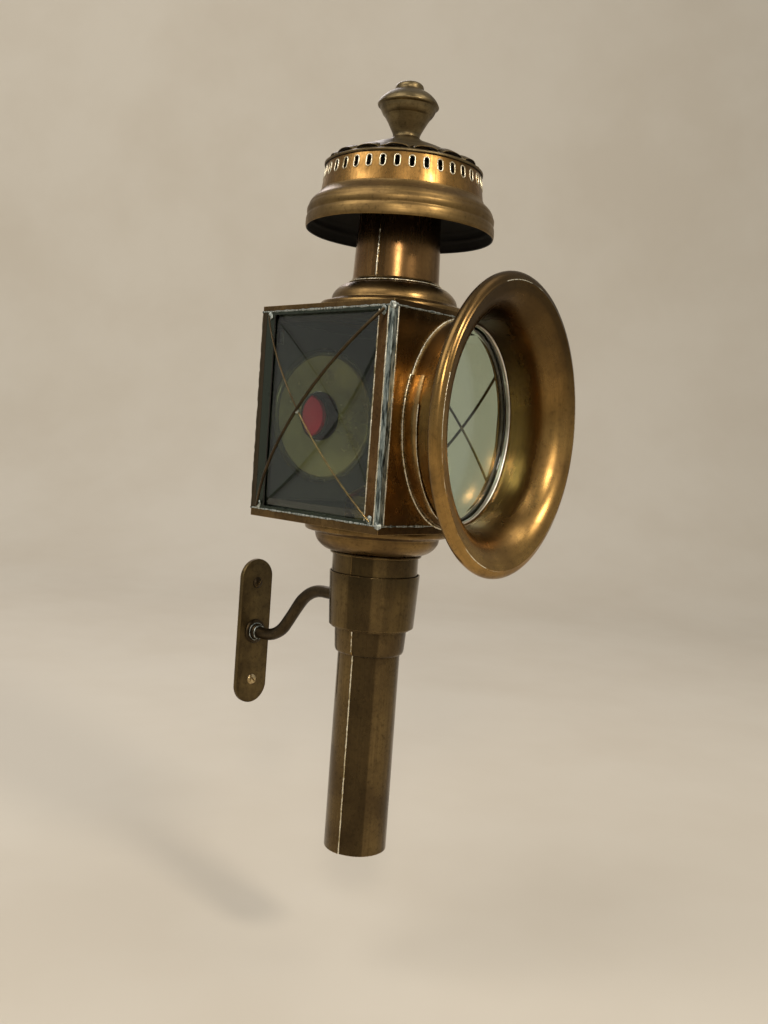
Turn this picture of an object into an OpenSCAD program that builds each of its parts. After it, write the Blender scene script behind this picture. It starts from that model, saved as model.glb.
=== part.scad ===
// Carriage lamp on a wall bracket: a glazed square lantern with an oval trumpet bell,
// a vented chimney cap and a spring-fed candle tube that hangs through a tapered sleeve.
// Millimetres. The origin is the middle of the wall plate's back, +Z is up, the lamp is on -Y.

/* [Wall bracket] */
// Width of the wall plate
plate_w = 27; // [22:1:40]
// Height of the wall plate
plate_h = 104; // [94:1:140]
// Thickness of the wall plate
plate_t = 3; // [2.5:0.5:5]
// Distance between the two screw holes
screw_gap = 70; // [50:1:76]
// Diameter of the screw holes
screw_hole_d = 4.8; // [3.5:0.1:6]
// Distance from the wall to the axis of the lamp
reach = 120; // [112:1:160]
// Diameter of the bracket rod
rod_d = 8.2; // [6:0.1:9]
// Radius of the two bends in the rod
rod_bend_r = 30; // [22:1:31]
// Angle at which the rod climbs between its bends
rod_climb = 52; // [46:1:56]
// Height that the rod climbs
rod_rise = 39.6; // [38:0.1:46]
// Straight stretch of rod beside the wall plate
rod_start = 9.5; // [6:0.5:14]
// Diameter of the washer under the rod
washer_d = 17; // [14:0.5:22]
// Thickness of the washer
washer_t = 1.6; // [1:0.1:2.5]
// Diameter of the rod's shoulder
shoulder_d = 11; // [9.5:0.5:13]
// Length of the rod's shoulder
shoulder_h = 4; // [2:0.5:6]

/* [Bracket sleeve] */
// Outside diameter of the sleeve at its top
sleeve_top_d = 57.4; // [55:0.2:62]
// Outside diameter of the sleeve at its bottom
sleeve_bottom_d = 53.6; // [53:0.2:55]
// Height of the sleeve
sleeve_h = 33.7; // [28:0.1:40]
// Thickness of the sleeve
sleeve_t = 1; // [0.8:0.1:1.2]
// Height of the rod's axis above the sleeve's lower edge
rod_seat = 14.1; // [8:0.1:20]

/* [Socket] */
// Thickness of the socket under the lantern
socket_t = 0.9; // [0.6:0.1:1.2]
// Length of socket that shows above the sleeve
socket_show = 12.8; // [8:0.2:20]
// Width of the socket's top flange
socket_flange = 1.8; // [1:0.1:3]
// Thickness of the socket's flange and lip
socket_lip_t = 1.2; // [0.8:0.1:2]
// Length of socket that shows below the sleeve
socket_drop = 1; // [0.5:0.1:3]

/* [Lantern body] */
// Width of the lantern across its front
body_w = 114; // [108:1:130]
// Depth of the lantern
body_d = 114; // [108:1:130]
// Height of the lantern
body_h = 130; // [126:1:160]
// Thickness of the sheet brass
sheet_t = 1; // [0.8:0.1:1.2]
// Height of the top plate's folded rim
top_rim_h = 3.5; // [2.5:0.1:5]
// Height of the bottom plate's folded rim
bottom_rim_h = 5; // [3:0.1:7]
// Width of each leg of a corner post
post_leg = 4; // [3.5:0.1:5]
// Side of the square core inside a corner post
post_core = 3; // [2:0.1:3.4]
// Diameter of the smoke hole in the top plate
smoke_hole_d = 50; // [46:1:52]
// Diameter of the hole in the bottom plate for the candle tube
floor_hole_d = 50; // [46:0.5:54]

/* [Side windows] */
// Width of the brass strip beside the glass
strip_w = 7.2; // [5:0.1:10]
// Width of the brass lip above and below the glass
lip_w = 2; // [1.5:0.1:4]
// Thickness of the window glass
pane_t = 3; // [2.5:0.1:4]
// Width of the bevel round the glass
bevel_w = 6; // [3:0.5:9]
// Depth of the bevel
bevel_t = 1.2; // [0.6:0.1:1.6]
// Depth of the glass inside its frame
pane_grip = 4; // [3:0.1:4.6]
// Diameter of the guard wires
wire_d = 1.8; // [1.2:0.1:2.5]
// Height of the guard wires' bow in front of the glass
wire_bow = 16; // [8:0.5:22]

/* [Oval bell] */
// Half width of the bell's neck inside
neck_a = 42; // [38:0.5:44]
// Half height of the bell's neck inside
neck_b = 59.2; // [50:0.2:60]
// Thickness of the bell
bell_t = 1; // [0.8:0.1:1.4]
// Length of the bell's straight neck
neck_len = 11; // [9:0.5:16]
// Length of the bell's flare
flare_len = 32.4; // [24:0.2:40]
// How far the flare opens at each side
flare_out = 16.5; // [10:0.5:24]
// How many times further the flare opens at its top and bottom
flare_stretch = 1.28; // [1:0.01:1.5]
// Radius of the rolled rim
rim_roll_r = 4.5; // [3:0.1:6]
// Thickness of the band round the neck
band_t = 0.8; // [0.5:0.1:1.2]
// Width of the band round the neck
band_w = 10.3; // [6:0.1:11]
// Thickness of the front glass
front_glass_t = 3; // [2:0.1:3.5]
// Width of the rings that hold the front glass
ring_w = 2.6; // [2:0.1:4]
// Thickness of the ring behind the front glass
seat_ring_t = 2.7; // [1.5:0.1:3.5]
// Thickness of the ring in front of the front glass
bezel_t = 1.8; // [1:0.1:2.5]

/* [Back door] */
// Overlap of the door behind the rim of its frame
door_land = 5.3; // [4:0.1:7]
// Thickness of the frame that the door shuts against
door_frame_t = 3; // [2:0.1:3.5]
// Height of the door's folded edge
door_fold = 0.7; // [0.4:0.1:0.9]
// Radius of the reflector's bowl
bowl_r = 40.5; // [34:0.5:42]
// Depth of the reflector's bowl
bowl_depth = 6; // [3:0.5:10]
// Width of the reflector's flange
bowl_flange = 4; // [2:0.5:5]
// Thickness of the reflector
bowl_t = 0.6; // [0.4:0.1:0.8]
// Inside radius of the tube that holds the red lens
lens_tube_r = 15.7; // [13:0.1:18]
// Length of the tube that holds the red lens
lens_tube_len = 15.5; // [12:0.5:24]
// Thickness of the lens tube
lens_tube_t = 0.6; // [0.4:0.1:1]
// Thickness of the red lens at its edge
lens_edge_t = 4.6; // [3:0.1:6]
// Height of the red lens's dome
lens_dome_h = 4.7; // [2:0.1:6]
// Height of each hinge
hinge_h = 24; // [18:1:30]
// Radius of the hinge barrels
barrel_r = 2.2; // [2:0.1:2.3]
// Diameter of the hinge pins
hinge_pin_d = 2.4; // [1.6:0.1:2.6]
// Radius of the door's knob
knob_r = 4; // [3:0.5:6]

/* [Chimney] */
// Height of the pressed foot, used under the chimney and under the lantern
foot_h = 18; // [14:1:24]
// Radius of the pressed foot
foot_r = 46; // [44:1:50]
// Outside radius of the chimney neck where it stands on the lantern
flue_r0 = 27.6; // [26.4:0.1:27.6]
// Outside radius of the chimney neck at its top
flue_r1 = 24.5; // [20:0.1:26]
// Thickness of the chimney neck
flue_t = 0.8; // [0.5:0.1:1.2]
// Height of the chimney neck
flue_h = 77; // [60:0.5:90]
// Length of the chimney neck that stands inside the cap
flue_in_cap = 27.3; // [26:0.1:29]

/* [Cap] */
// Outside radius of the cap's skirt
skirt_r = 58.2; // [54:0.1:64]
// Height of the cap's skirt
skirt_h = 21.5; // [19:0.1:23]
// Radius of the gallery at its base
gallery_r0 = 50.1; // [44:0.1:52]
// Radius of the gallery at its top
gallery_r1 = 47.7; // [42:0.1:50]
// Height of the gallery
gallery_h = 16.7; // [13:0.1:22]
// Thickness of the cap's sheet
cap_t = 0.9; // [0.6:0.1:1.2]
// Number of slots round the gallery
slot_count = 36; // [24:2:40]
// Width of a gallery slot
slot_w = 2.7; // [2:0.1:3.4]
// Height of a gallery slot
slot_h = 6.2; // [4:0.1:8]
// Number of half-moon vents in the roof
vent_count = 16; // [12:1:18]
// Radius of a half-moon vent
vent_r = 6.7; // [4:0.1:7.2]
// Height of the roof
roof_h = 20.3; // [14:0.1:28]
// Number of stays between the chimney neck and the cap
stay_count = 3; // [3:1:6]
// Height of the stays
stay_h = 5; // [3:0.5:5]
// Thickness of the stays
stay_t = 1.5; // [1:0.1:3]
// Radius of the smoke baffle
baffle_r = 30; // [20:1:36]

/* [Finial] */
// Height of the finial
finial_h = 33.7; // [26:0.1:44]
// Radius of the finial's flange
finial_r = 18.9; // [14:0.1:24]
// Diameter of the stud that holds the finial
stud_d = 6; // [4:0.5:8]

/* [Candle tube] */
// Outside radius of the candle tube
tube_r = 19.7; // [17:0.1:20]
// Length of the candle tube
tube_len = 224; // [200:1:260]
// Thickness of the candle tube
tube_t = 0.7; // [0.5:0.1:1]
// Height of the tube's mouth above the lantern's floor
tube_above = 16; // [14:0.5:24]
// Outside radius of the collar on the tube
collar_r = 22.7; // [22:0.1:23.2]
// Thickness of the collar
collar_t = 1; // [0.6:0.1:1.4]
// Length of collar that shows below the sleeve
collar_show = 17; // [12:0.5:24]
// Thickness of the nozzle
nozzle_t = 0.8; // [0.5:0.1:1.2]
// Length of the nozzle's skirt over the tube
nozzle_skirt = 10; // [9:0.5:14]
// Height of the nozzle's cone
nozzle_cone_h = 6.6; // [5:0.1:9]
// Radius of the nozzle's hole
nozzle_hole_r = 9.6; // [7:0.1:12]
// Radius of the bayonet pins on the tube
pin_r = 1; // [0.8:0.1:1.2]
// Turn of the nozzle's bayonet
bayonet_turn = 30; // [20:1:40]

/* [Candle] */
// Radius of the candle
candle_r = 17.5; // [14:0.1:17.8]
// Length of the candle
candle_len = 106.9; // [90:0.1:112]
// Length of the wick that shows
wick_len = 11; // [6:0.5:16]
// Height of the follower's skirt
follower_h = 14; // [8:0.5:18]
// Thickness of the follower and of the tube's end disc
disc_t = 1.5; // [1:0.1:2]
// Radius of the spring's wire
spring_wire_r = 0.8; // [0.6:0.05:0.9]
// Number of the spring's curls, with the closed one at each end
spring_curls = 18; // [12:1:24]

/* [Hidden] */
$fn = 96;
// clearance that seats one piece beside another
seat = 0.3;
// clearance of pieces soldered together
snug = 0.1;
// clearance of a running fit
run_fit = 0.05;
// extra length of a cutting tool past the face that it cuts
cut = 1;

// heights of the chain of pieces, from the rod up to the finial
sleeve_z = rod_rise - rod_seat;
sleeve_top_z = sleeve_z + sleeve_h;
socket_top_z = sleeve_top_z + socket_show;
body_z = socket_top_z + foot_h;
body_top_z = body_z + body_h;
window_z0 = body_z + bottom_rim_h;
window_z1 = body_top_z - top_rim_h;
window_mid_z = (window_z0 + window_z1) / 2;
bell_z = window_mid_z - 0.75;
cap_z = body_top_z + flue_h - flue_in_cap;
gallery_z = cap_z + skirt_h;
roof_z = gallery_z + gallery_h;
finial_z = roof_z + roof_h;
tube_top_z = body_z + tube_above;
tube_bottom_z = tube_top_z - tube_len;

// half sizes of the lantern and of what fits between its posts
half_w = body_w / 2;
half_d = body_d / 2;
bay_w = half_w - post_leg - 0.2;
bay_d = half_d - post_leg - 0.2;

brass = "darkgoldenrod";
old_brass = "#7a5c2e";
dark_brass = "#4b3a22";
solder = "lightslategray";

// places its children round the lamp's vertical axis
module on_axis() { translate([0, -reach, 0]) children(); }

// ring of revolution from an outline of [radius, height] points
module turned(points) { rotate_extrude() polygon(points); }

// sheet metal ring: the outline of its outer face, moved in and down by its thickness
function pressed(points, t, floor_z = 0) = concat(points,
    [for (i = [len(points) - 1:-1:0]) [points[i][0] - t, max(points[i][1] - t, floor_z)]]);

// conical tube, from height z0 and outside radius r0 to height z1 and outside radius r1
module cone_tube(r0, r1, z0, z1, t) {
    translate([0, 0, z0]) difference() {
        cylinder(r1 = r0, r2 = r1, h = z1 - z0);
        translate([0, 0, -cut])
            cylinder(r1 = r0 - t - cut * (r1 - r0) / (z1 - z0), r2 = r1 - t + cut * (r1 - r0) / (z1 - z0),
                h = z1 - z0 + 2 * cut);
    }
}

// Wall bracket

module wall_plate() color(old_brass) rotate([90, 0, 0]) difference() {
    union() {
        for (s = [-1, 1]) translate([0, s * (plate_h - plate_w) / 2, 0]) cylinder(d = plate_w, h = plate_t);
        translate([-plate_w / 2, -(plate_h - plate_w) / 2, 0]) cube([plate_w, plate_h - plate_w, plate_t]);
    }
    for (s = [-1, 1]) translate([0, s * screw_gap / 2, -cut])
        cylinder(d = screw_hole_d, h = plate_t + 2 * cut);
    translate([0, 0, plate_t - tenon_len]) cylinder(r = tenon_r + snug, h = tenon_len + cut);
}

// the rod's tenon is brazed in a blind hole, so the plate's back stays flat
tenon_r = 3;
tenon_len = 2;

module rod_washer() color(dark_brass) translate([0, -plate_t, 0]) rotate([90, 0, 0]) difference() {
    union() {
        cylinder(d = washer_d, h = washer_t * 0.6);
        cylinder(d1 = washer_d, d2 = washer_d - 3, h = washer_t);
    }
    translate([0, 0, -cut]) cylinder(r = tenon_r + snug, h = washer_t + 2 * cut);
}

// length of the rod's slope, and its turning points in the plane of the bracket
rod_slope = (rod_rise - 2 * rod_bend_r * (1 - cos(rod_climb))) / sin(rod_climb);
rod_p0 = plate_t + washer_t + rod_start;
rod_p1 = [rod_p0 + rod_bend_r * sin(rod_climb), rod_bend_r * (1 - cos(rod_climb))];
rod_p2 = rod_p1 + rod_slope * [cos(rod_climb), sin(rod_climb)];
rod_p3 = [rod_p2[0] + rod_bend_r * sin(rod_climb), rod_rise];

// outside radius of the sleeve at a height above its lower edge
function sleeve_r(h) = (sleeve_bottom_d + (sleeve_top_d - sleeve_bottom_d) * h / sleeve_h) / 2;

// the straights are a hair thinner than the bends and run a little way into them
rod_r = rod_d / 2 - 0.03;
bend_lap = 0.5;

module rod_bend(start) rotate([0, 0, start]) rotate_extrude(angle = rod_climb)
    translate([rod_bend_r, 0]) circle(d = rod_d);

module bracket_rod() color(dark_brass) difference() {
    rotate([90, 0, -90]) {
        // tenon, shoulder and first straight stretch in one turning
        rotate([0, 90, 0]) turned([[0, plate_t - tenon_len], [tenon_r, plate_t - tenon_len],
            [tenon_r, plate_t + washer_t], [shoulder_d / 2, plate_t + washer_t],
            [shoulder_d / 2, plate_t + washer_t + shoulder_h - 1], [rod_r, plate_t + washer_t + shoulder_h],
            [rod_r, rod_p0 + bend_lap], [0, rod_p0 + bend_lap]]);
        translate([rod_p0, rod_bend_r]) rod_bend(-90);
        translate(rod_p1) rotate([0, 90, rod_climb]) translate([0, 0, -bend_lap])
            cylinder(r = rod_r, h = rod_slope + 2 * bend_lap);
        translate([rod_p3[0], rod_rise - rod_bend_r]) rod_bend(90);
        translate(rod_p3) rotate([0, 90, 0]) translate([0, 0, -bend_lap])
            cylinder(r = rod_r, h = reach - sleeve_r(rod_seat) - rod_p3[0] + 2 + bend_lap);
    }
    // the end is hollowed to sit on the sleeve
    translate([0, -reach, sleeve_z]) cylinder(d1 = sleeve_bottom_d, d2 = sleeve_top_d, h = sleeve_h);
}

module bracket_sleeve() color(brass) on_axis()
    cone_tube(sleeve_bottom_d / 2, sleeve_top_d / 2, sleeve_z, sleeve_top_z, sleeve_t);

// Socket and pressed foot

socket_r0 = sleeve_bottom_d / 2 - sleeve_t - seat;
socket_r1 = sleeve_top_d / 2 - sleeve_t - seat;

module socket() color(old_brass) on_axis() turned([
    [collar_r + seat, sleeve_z - socket_drop], [socket_r0, sleeve_z - socket_drop], [socket_r0, sleeve_z],
    [socket_r1, sleeve_top_z], [socket_r1, socket_top_z - socket_lip_t],
    [socket_r1 + socket_flange, socket_top_z - socket_lip_t], [socket_r1 + socket_flange, socket_top_z],
    [socket_r1 - socket_t, socket_top_z], [socket_r1 - socket_t, sleeve_top_z],
    [socket_r0 - socket_t, sleeve_z], [socket_r0 - socket_t, sleeve_z - socket_drop + socket_lip_t],
    [collar_r + seat, sleeve_z - socket_drop + socket_lip_t]]);

// the pressing has a plain ring, a step and a dome; its top edge closes on the chimney neck
foot_top_r = flue_r0 + 0.8;
foot_step_r = foot_top_r + 0.59 * (foot_r - foot_top_r);
foot_line = concat(
    [[foot_r, 0], [foot_r, 0.18 * foot_h], [foot_r - 0.5, 0.25 * foot_h], [foot_r - 1.6, 0.29 * foot_h]],
    [[foot_step_r + 0.6, 0.36 * foot_h]],
    [for (a = [0:15:75])
        [foot_top_r + (foot_step_r - foot_top_r) * cos(a), foot_h * (0.44 + 0.52 * sin(a))]],
    [[foot_top_r, 0.965 * foot_h], [foot_top_r, foot_h]]);
foot_ring = concat(foot_line,
    [[foot_top_r - 0.8 + snug, foot_h], [foot_top_r - 0.8 + snug, foot_h - sheet_t]],
    [for (i = [len(foot_line) - 3:-1:0])
        [min(foot_line[i][0], foot_r) - sheet_t, max(foot_line[i][1] - sheet_t, 0)]]);

module bottom_dome() color(brass) on_axis() translate([0, 0, body_z]) mirror([0, 0, 1]) turned(foot_ring);

module chimney_foot() color(brass) on_axis() translate([0, 0, body_top_z]) turned(foot_ring);

// Lantern body

module tray(z0, z1, sheet_z, hole_d) on_axis() difference() {
    translate([-half_w, -half_d, z0]) cube([body_w, body_d, z1 - z0]);
    translate([-half_w + sheet_t, -half_d + sheet_t, sheet_z == z0 ? z0 + sheet_t : z0 - cut])
        cube([body_w - 2 * sheet_t, body_d - 2 * sheet_t, z1 - z0 - sheet_t + cut]);
    translate([0, 0, z0 - cut]) cylinder(d = hole_d, h = z1 - z0 + 2 * cut);
}

module bottom_plate() color(old_brass) tray(body_z, window_z0, body_z, floor_hole_d);

module top_plate() color(old_brass) tray(window_z1, body_top_z, body_top_z, smoke_hole_d);

module corner_posts() color(solder) on_axis() for (sx = [0, 1], sy = [0, 1])
    mirror([sx, 0, 0]) mirror([0, sy, 0]) {
        translate([half_w - post_leg, half_d - sheet_t, window_z0])
            cube([post_leg, sheet_t, window_z1 - window_z0]);
        translate([half_w - sheet_t, half_d - post_leg, window_z0])
            cube([sheet_t, post_leg, window_z1 - window_z0]);
        translate([half_w - sheet_t - post_core, half_d - sheet_t - post_core, body_z + sheet_t])
            cube([post_core, post_core, body_h - 2 * sheet_t]);
    }

// Oval bell

oval_sides = 72;
neck_out_b = neck_b + bell_t * flare_stretch;
function oval(a, b, from = 0, to = 360) = let (n = round(oval_sides * (to - from) / 360))
    [for (i = [0:n - (to - from == 360 ? 1 : 0)])
        let (t = from + i * (to - from) / n) [a * cos(t), b * sin(t)]];

// places its children on the front plate: their +Z points out of the lamp's front
module on_front() translate([0, -reach - half_d, bell_z]) rotate([90, 0, 0]) children();

module oval_ring(a, b, w, z, t) translate([0, 0, z]) linear_extrude(t) difference() {
    polygon(oval(a, b));
    polygon(oval(a - w, b - w));
}

module front_plate() color(brass) on_axis() difference() {
    translate([-bay_w, -half_d, window_z0]) cube([2 * bay_w, sheet_t, window_z1 - window_z0]);
    translate([0, -half_d + sheet_t + cut, bell_z]) rotate([90, 0, 0])
        linear_extrude(sheet_t + 2 * cut) polygon(oval(neck_a - ring_w, neck_b - ring_w));
}

// the bell's outline as [height above the plate, opening outwards] along the inside, round the
// rolled rim and back along the outside
rim_c = [neck_len + flare_len - rim_roll_r, flare_out];
roll_end = 200;
function flare_point(a) = [neck_len + flare_len * sin(a), flare_out * (1 - cos(a))];
function flare_normal(a) = let (v = [-flare_out * sin(a), flare_len * cos(a)]) v / norm(v);
function roll_point(r, a) = rim_c + r * [cos(a), sin(a)];
bell_line = concat([[seat, 0]],
    [for (a = [0:9:81]) flare_point(a)],
    [for (a = [0:25:roll_end]) roll_point(rim_roll_r, a)],
    [for (i = [5:-1:0]) roll_point(rim_roll_r - bell_t, i * roll_end / 5)],
    [for (a = [81:-9:0]) flare_point(a) + bell_t * flare_normal(a)],
    [[seat, bell_t]]);

module oval_sweep(line) {
    m = len(line);
    n = oval_sides;
    points = [for (p = line) for (q = oval(neck_a + p[1], neck_b + p[1] * flare_stretch))
        [q[0], q[1], p[0]]];
    faces = [for (i = [0:m - 1], j = [0:n - 1]) each let (i2 = (i + 1) % m, j2 = (j + 1) % n)
        [[i * n + j, i2 * n + j, i2 * n + j2], [i * n + j, i2 * n + j2, i * n + j2]]];
    polyhedron(points, faces);
}

module bell() color(brass) on_front() oval_sweep(bell_line);

// the band is one strip whose end laps on the left, above the middle
band_from = 156;
band_to = 381;
band_a = neck_a + bell_t + snug;
band_b = neck_out_b + snug;
module neck_band() color(old_brass) on_front() translate([0, 0, seat]) linear_extrude(band_w)
    polygon(concat(oval(band_a + band_t, band_b + band_t, band_from, band_to),
        reverse_list(oval(band_a, band_b, band_from, band_to))));

function reverse_list(v) = [for (i = [len(v) - 1:-1:0]) v[i]];

glass_z = seat + seat_ring_t + snug;
bezel_z = glass_z + front_glass_t + snug;

module glass_seat() color(dark_brass) on_front()
    oval_ring(neck_a - snug, neck_b - snug, ring_w, seat, seat_ring_t);

module front_bezel() color("silver") on_front()
    oval_ring(neck_a - snug, neck_b - snug, ring_w, bezel_z, bezel_t);

module front_glass() color("powderblue", 0.4) on_front() translate([0, 0, glass_z]) hull() {
    linear_extrude(front_glass_t - bevel_t) polygon(oval(neck_a - 2 * snug, neck_b - 2 * snug));
    linear_extrude(front_glass_t) polygon(oval(neck_a - bevel_w, neck_b - bevel_w));
}

// Side windows

frame_depth = sheet_t + pane_t + 2 * snug + sheet_t;
window_y = bay_d - strip_w;
pane_y = window_y + pane_grip;
pane_z0 = window_z0 + 1;
pane_z1 = window_z1 - 1;

module side_frame() on_axis() difference() {
    translate([-half_w, -bay_d, window_z0]) cube([frame_depth, 2 * bay_d, window_z1 - window_z0]);
    translate([-half_w - cut, -window_y, window_z0 + lip_w])
        cube([frame_depth + 2 * cut, 2 * window_y, window_z1 - window_z0 - 2 * lip_w]);
    translate([-half_w + sheet_t, -pane_y - snug, pane_z0 - snug])
        cube([pane_t + 2 * snug, 2 * (pane_y + snug), pane_z1 - pane_z0 + 2 * snug]);
}

module side_glass() on_axis() translate([-half_w + sheet_t + snug, 0, 0]) hull() {
    translate([bevel_t, -pane_y, pane_z0]) cube([pane_t - bevel_t, 2 * pane_y, pane_z1 - pane_z0]);
    translate([0, -pane_y + bevel_w, pane_z0 + bevel_w])
        cube([pane_t, 2 * (pane_y - bevel_w), pane_z1 - pane_z0 - 2 * bevel_w]);
}

// the two wires cross, the front one a wire's thickness further out
wire_y = bay_d - 2.3;
wire_z = (window_z1 - window_z0) / 2 - 1.8;
wire_half = norm([wire_y, wire_z]);
module guard_wire(tilt, bow) {
    r = (wire_half * wire_half + bow * bow) / (2 * bow);
    half_angle = asin(wire_half / r);
    rotate([tilt, 0, 0]) rotate([0, 0, 90]) translate([0, bow - r]) rotate([0, 0, 90 - half_angle])
        rotate_extrude(angle = 2 * half_angle) translate([r, 0]) circle(d = wire_d);
}

module side_guard() translate([-half_w - wire_d / 2 - run_fit, -reach, window_mid_z]) {
    guard_wire(-atan2(wire_z, wire_y), wire_bow);
    guard_wire(atan2(wire_z, wire_y), wire_bow - wire_d - snug);
}

module left_frame() color(brass) side_frame();
module left_glass() color("powderblue", 0.4) side_glass();
module left_guard() color(dark_brass) side_guard();
module right_frame() color(brass) mirror([1, 0, 0]) side_frame();
module right_glass() color("powderblue", 0.4) mirror([1, 0, 0]) side_glass();
module right_guard() color(dark_brass) mirror([1, 0, 0]) side_guard();

// Back door, with the reflector and the red lens on it

door_in_y = half_d - sheet_t;
door_x = bay_w - 0.5;
door_z0 = window_z0 + 0.4;
door_z1 = window_z1 - 0.4;
frame_back_y = door_in_y - door_fold - seat;
frame_x = half_w - frame_depth - 0.2;

// places its children on the back door: their +Z points out of the lamp's back
module on_back(y) translate([0, y - reach, window_mid_z]) rotate([-90, 0, 0]) children();

module door_frame() color(old_brass) on_axis() difference() {
    translate([-frame_x, frame_back_y - door_frame_t, window_z0])
        cube([2 * frame_x, door_frame_t, window_z1 - window_z0]);
    translate([-frame_x + door_land, frame_back_y - door_frame_t - cut, window_z0 + door_land])
        cube([2 * (frame_x - door_land), door_frame_t + 2 * cut, window_z1 - window_z0 - 2 * door_land]);
}

module door_panel() color(brass) difference() {
    on_axis() translate([-door_x, door_in_y - door_fold, door_z0])
        cube([2 * door_x, sheet_t + door_fold, door_z1 - door_z0]);
    on_axis() translate([-door_x + sheet_t, door_in_y - door_fold - cut, door_z0 + sheet_t])
        cube([2 * (door_x - sheet_t), door_fold + cut, door_z1 - door_z0 - 2 * sheet_t]);
    on_back(door_in_y - cut) cylinder(r = bowl_r + bowl_t + seat, h = sheet_t + 2 * cut);
}

// the bowl is part of a paraboloid, deepest at the lens tube
bowl_hub_r = lens_tube_r + lens_tube_t + snug;
function bowl_point(r) = [r, bowl_depth * (1 - pow((r - bowl_hub_r) / (bowl_r - bowl_hub_r), 2))];
bowl_line = [for (i = [0:6]) bowl_point(bowl_hub_r + i * (bowl_r - bowl_hub_r) / 6)];

module reflector() color("silver") on_back(door_in_y - bowl_t) turned(concat(
    bowl_line, [[bowl_r + bowl_flange, 0], [bowl_r + bowl_flange, bowl_t], [bowl_r + bowl_t, bowl_t]],
    [for (i = [5:-1:0]) bowl_line[i] + [0, bowl_t]]));

lens_tube_y = door_in_y + bowl_depth - 2;
lens_back_y = lens_tube_y + lens_tube_len;
lens_seat_y = lens_back_y - lens_edge_t - 2 * snug;

module lens_tube() color(dark_brass) on_back(lens_tube_y) turned([
    [lens_tube_r, 0], [lens_tube_r + lens_tube_t, 0], [lens_tube_r + lens_tube_t, lens_tube_len],
    [lens_tube_r, lens_tube_len], [lens_tube_r, lens_seat_y - lens_tube_y],
    [lens_tube_r - 1.7, lens_seat_y - lens_tube_y], [lens_tube_r - 1.7, lens_seat_y - lens_tube_y - 1],
    [lens_tube_r, lens_seat_y - lens_tube_y - 1]]);

// the dome's outline is an arc through its edge and its crown
lens_dome_r = lens_tube_r - 2.1;
lens_ball_r = (pow(lens_dome_r, 2) + pow(lens_dome_h, 2)) / (2 * lens_dome_h);
module red_lens() color("crimson", 0.6) on_back(lens_seat_y + snug) turned(concat(
    [[0, 0], [lens_tube_r - seat, 0], [lens_tube_r - seat, lens_edge_t]],
    [for (i = [8:-1:0]) let (r = lens_dome_r * i / 8)
        [r, lens_edge_t + sqrt(pow(lens_ball_r, 2) - r * r) - lens_ball_r + lens_dome_h]]));

module lens_bezel() color(brass) on_back(lens_back_y) difference() {
    cylinder(r1 = lens_tube_r + lens_tube_t + 0.9, r2 = lens_tube_r + lens_tube_t, h = 1.5);
    translate([0, 0, -cut]) cylinder(r = lens_dome_r + seat, h = 1.5 + 2 * cut);
}

knob_base_r = 0.8 * knob_r;
knob_x = door_x - 2.5 * knob_base_r;
module door_knob() color(brass) translate([-knob_x, 0, 0]) on_back(half_d) {
    cylinder(r = knob_base_r, h = 0.8 * sheet_t);
    cylinder(r = 0.45 * knob_r, h = 1.25 * knob_r);
    translate([0, 0, 1.8 * knob_r]) sphere(r = knob_r);
}

// the clip is a bent spring strip inside the door, which grips the frame's edge
clip_x = frame_x - door_land - 1;
clip_w = 9;
clip_t = 0.5;
clip_leg = clip_w * 0.7;
module door_clip() color("slategray") on_axis() translate([-clip_x, 0, window_z1 - 2 * clip_w]) {
    translate([0, door_in_y - clip_leg, 0]) cube([clip_t, clip_leg, clip_w]);
    translate([0, door_in_y - clip_t, 0]) cube([clip_leg, clip_t, clip_w]);
}

// hinges on the right, seen from the lamp's front
hinge_x = half_w - post_leg;
hinge_y = half_d + barrel_r + 0.2;
leaf_t = sheet_t;
leaf_w = hinge_h / 2;
knuckle_gap = 0.15;
hinge_zs = [body_z + 0.22 * body_h, body_top_z - 0.22 * body_h];

module barrel(z, h) translate([hinge_x, hinge_y, z]) difference() {
    cylinder(r = barrel_r, h = h);
    translate([0, 0, -cut]) cylinder(d = hinge_pin_d + 2 * run_fit, h = h + 2 * cut);
}

module body_hinges() color(brass) on_axis() for (z = hinge_zs) {
    for (k = [-0.5, 1 / 6]) difference() {
        union() {
            barrel(z + k * hinge_h, hinge_h / 3);
            translate([hinge_x + 0.9, half_d, z + k * hinge_h]) cube([post_leg - 0.9, leaf_t, hinge_h / 3]);
            translate([hinge_x + 0.6, half_d, z + k * hinge_h]) cube([1.6, barrel_r, hinge_h / 3]);
        }
        translate([hinge_x, hinge_y, z - hinge_h]) cylinder(d = hinge_pin_d + 2 * run_fit, h = 2 * hinge_h);
    }
    translate([hinge_x + 1.9, half_d, z - hinge_h / 2]) cube([post_leg - 1.9, leaf_t, hinge_h]);
}

module door_hinges() color(brass) on_axis() for (z = hinge_zs) {
    difference() {
        union() {
            barrel(z - hinge_h / 6 + knuckle_gap, hinge_h / 3 - 2 * knuckle_gap);
            translate([hinge_x - 2.4, half_d, z - hinge_h / 6 + knuckle_gap])
                cube([1.8, barrel_r, hinge_h / 3 - 2 * knuckle_gap]);
        }
        translate([hinge_x, hinge_y, z - hinge_h]) cylinder(d = hinge_pin_d + 2 * run_fit, h = 2 * hinge_h);
    }
    translate([hinge_x - 2 - leaf_w, half_d, z - hinge_h / 2]) cube([leaf_w, leaf_t, hinge_h]);
}

module hinge_pins() color(old_brass) on_axis() for (z = hinge_zs)
    translate([hinge_x, hinge_y, z - hinge_h / 2]) {
    translate([0, 0, -0.2]) cylinder(d = hinge_pin_d, h = hinge_h + 0.4);
    for (e = [-1.2, hinge_h + 0.2]) translate([0, 0, e]) cylinder(r = barrel_r - 0.4, h = 1);
}

// Chimney and cap

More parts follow.
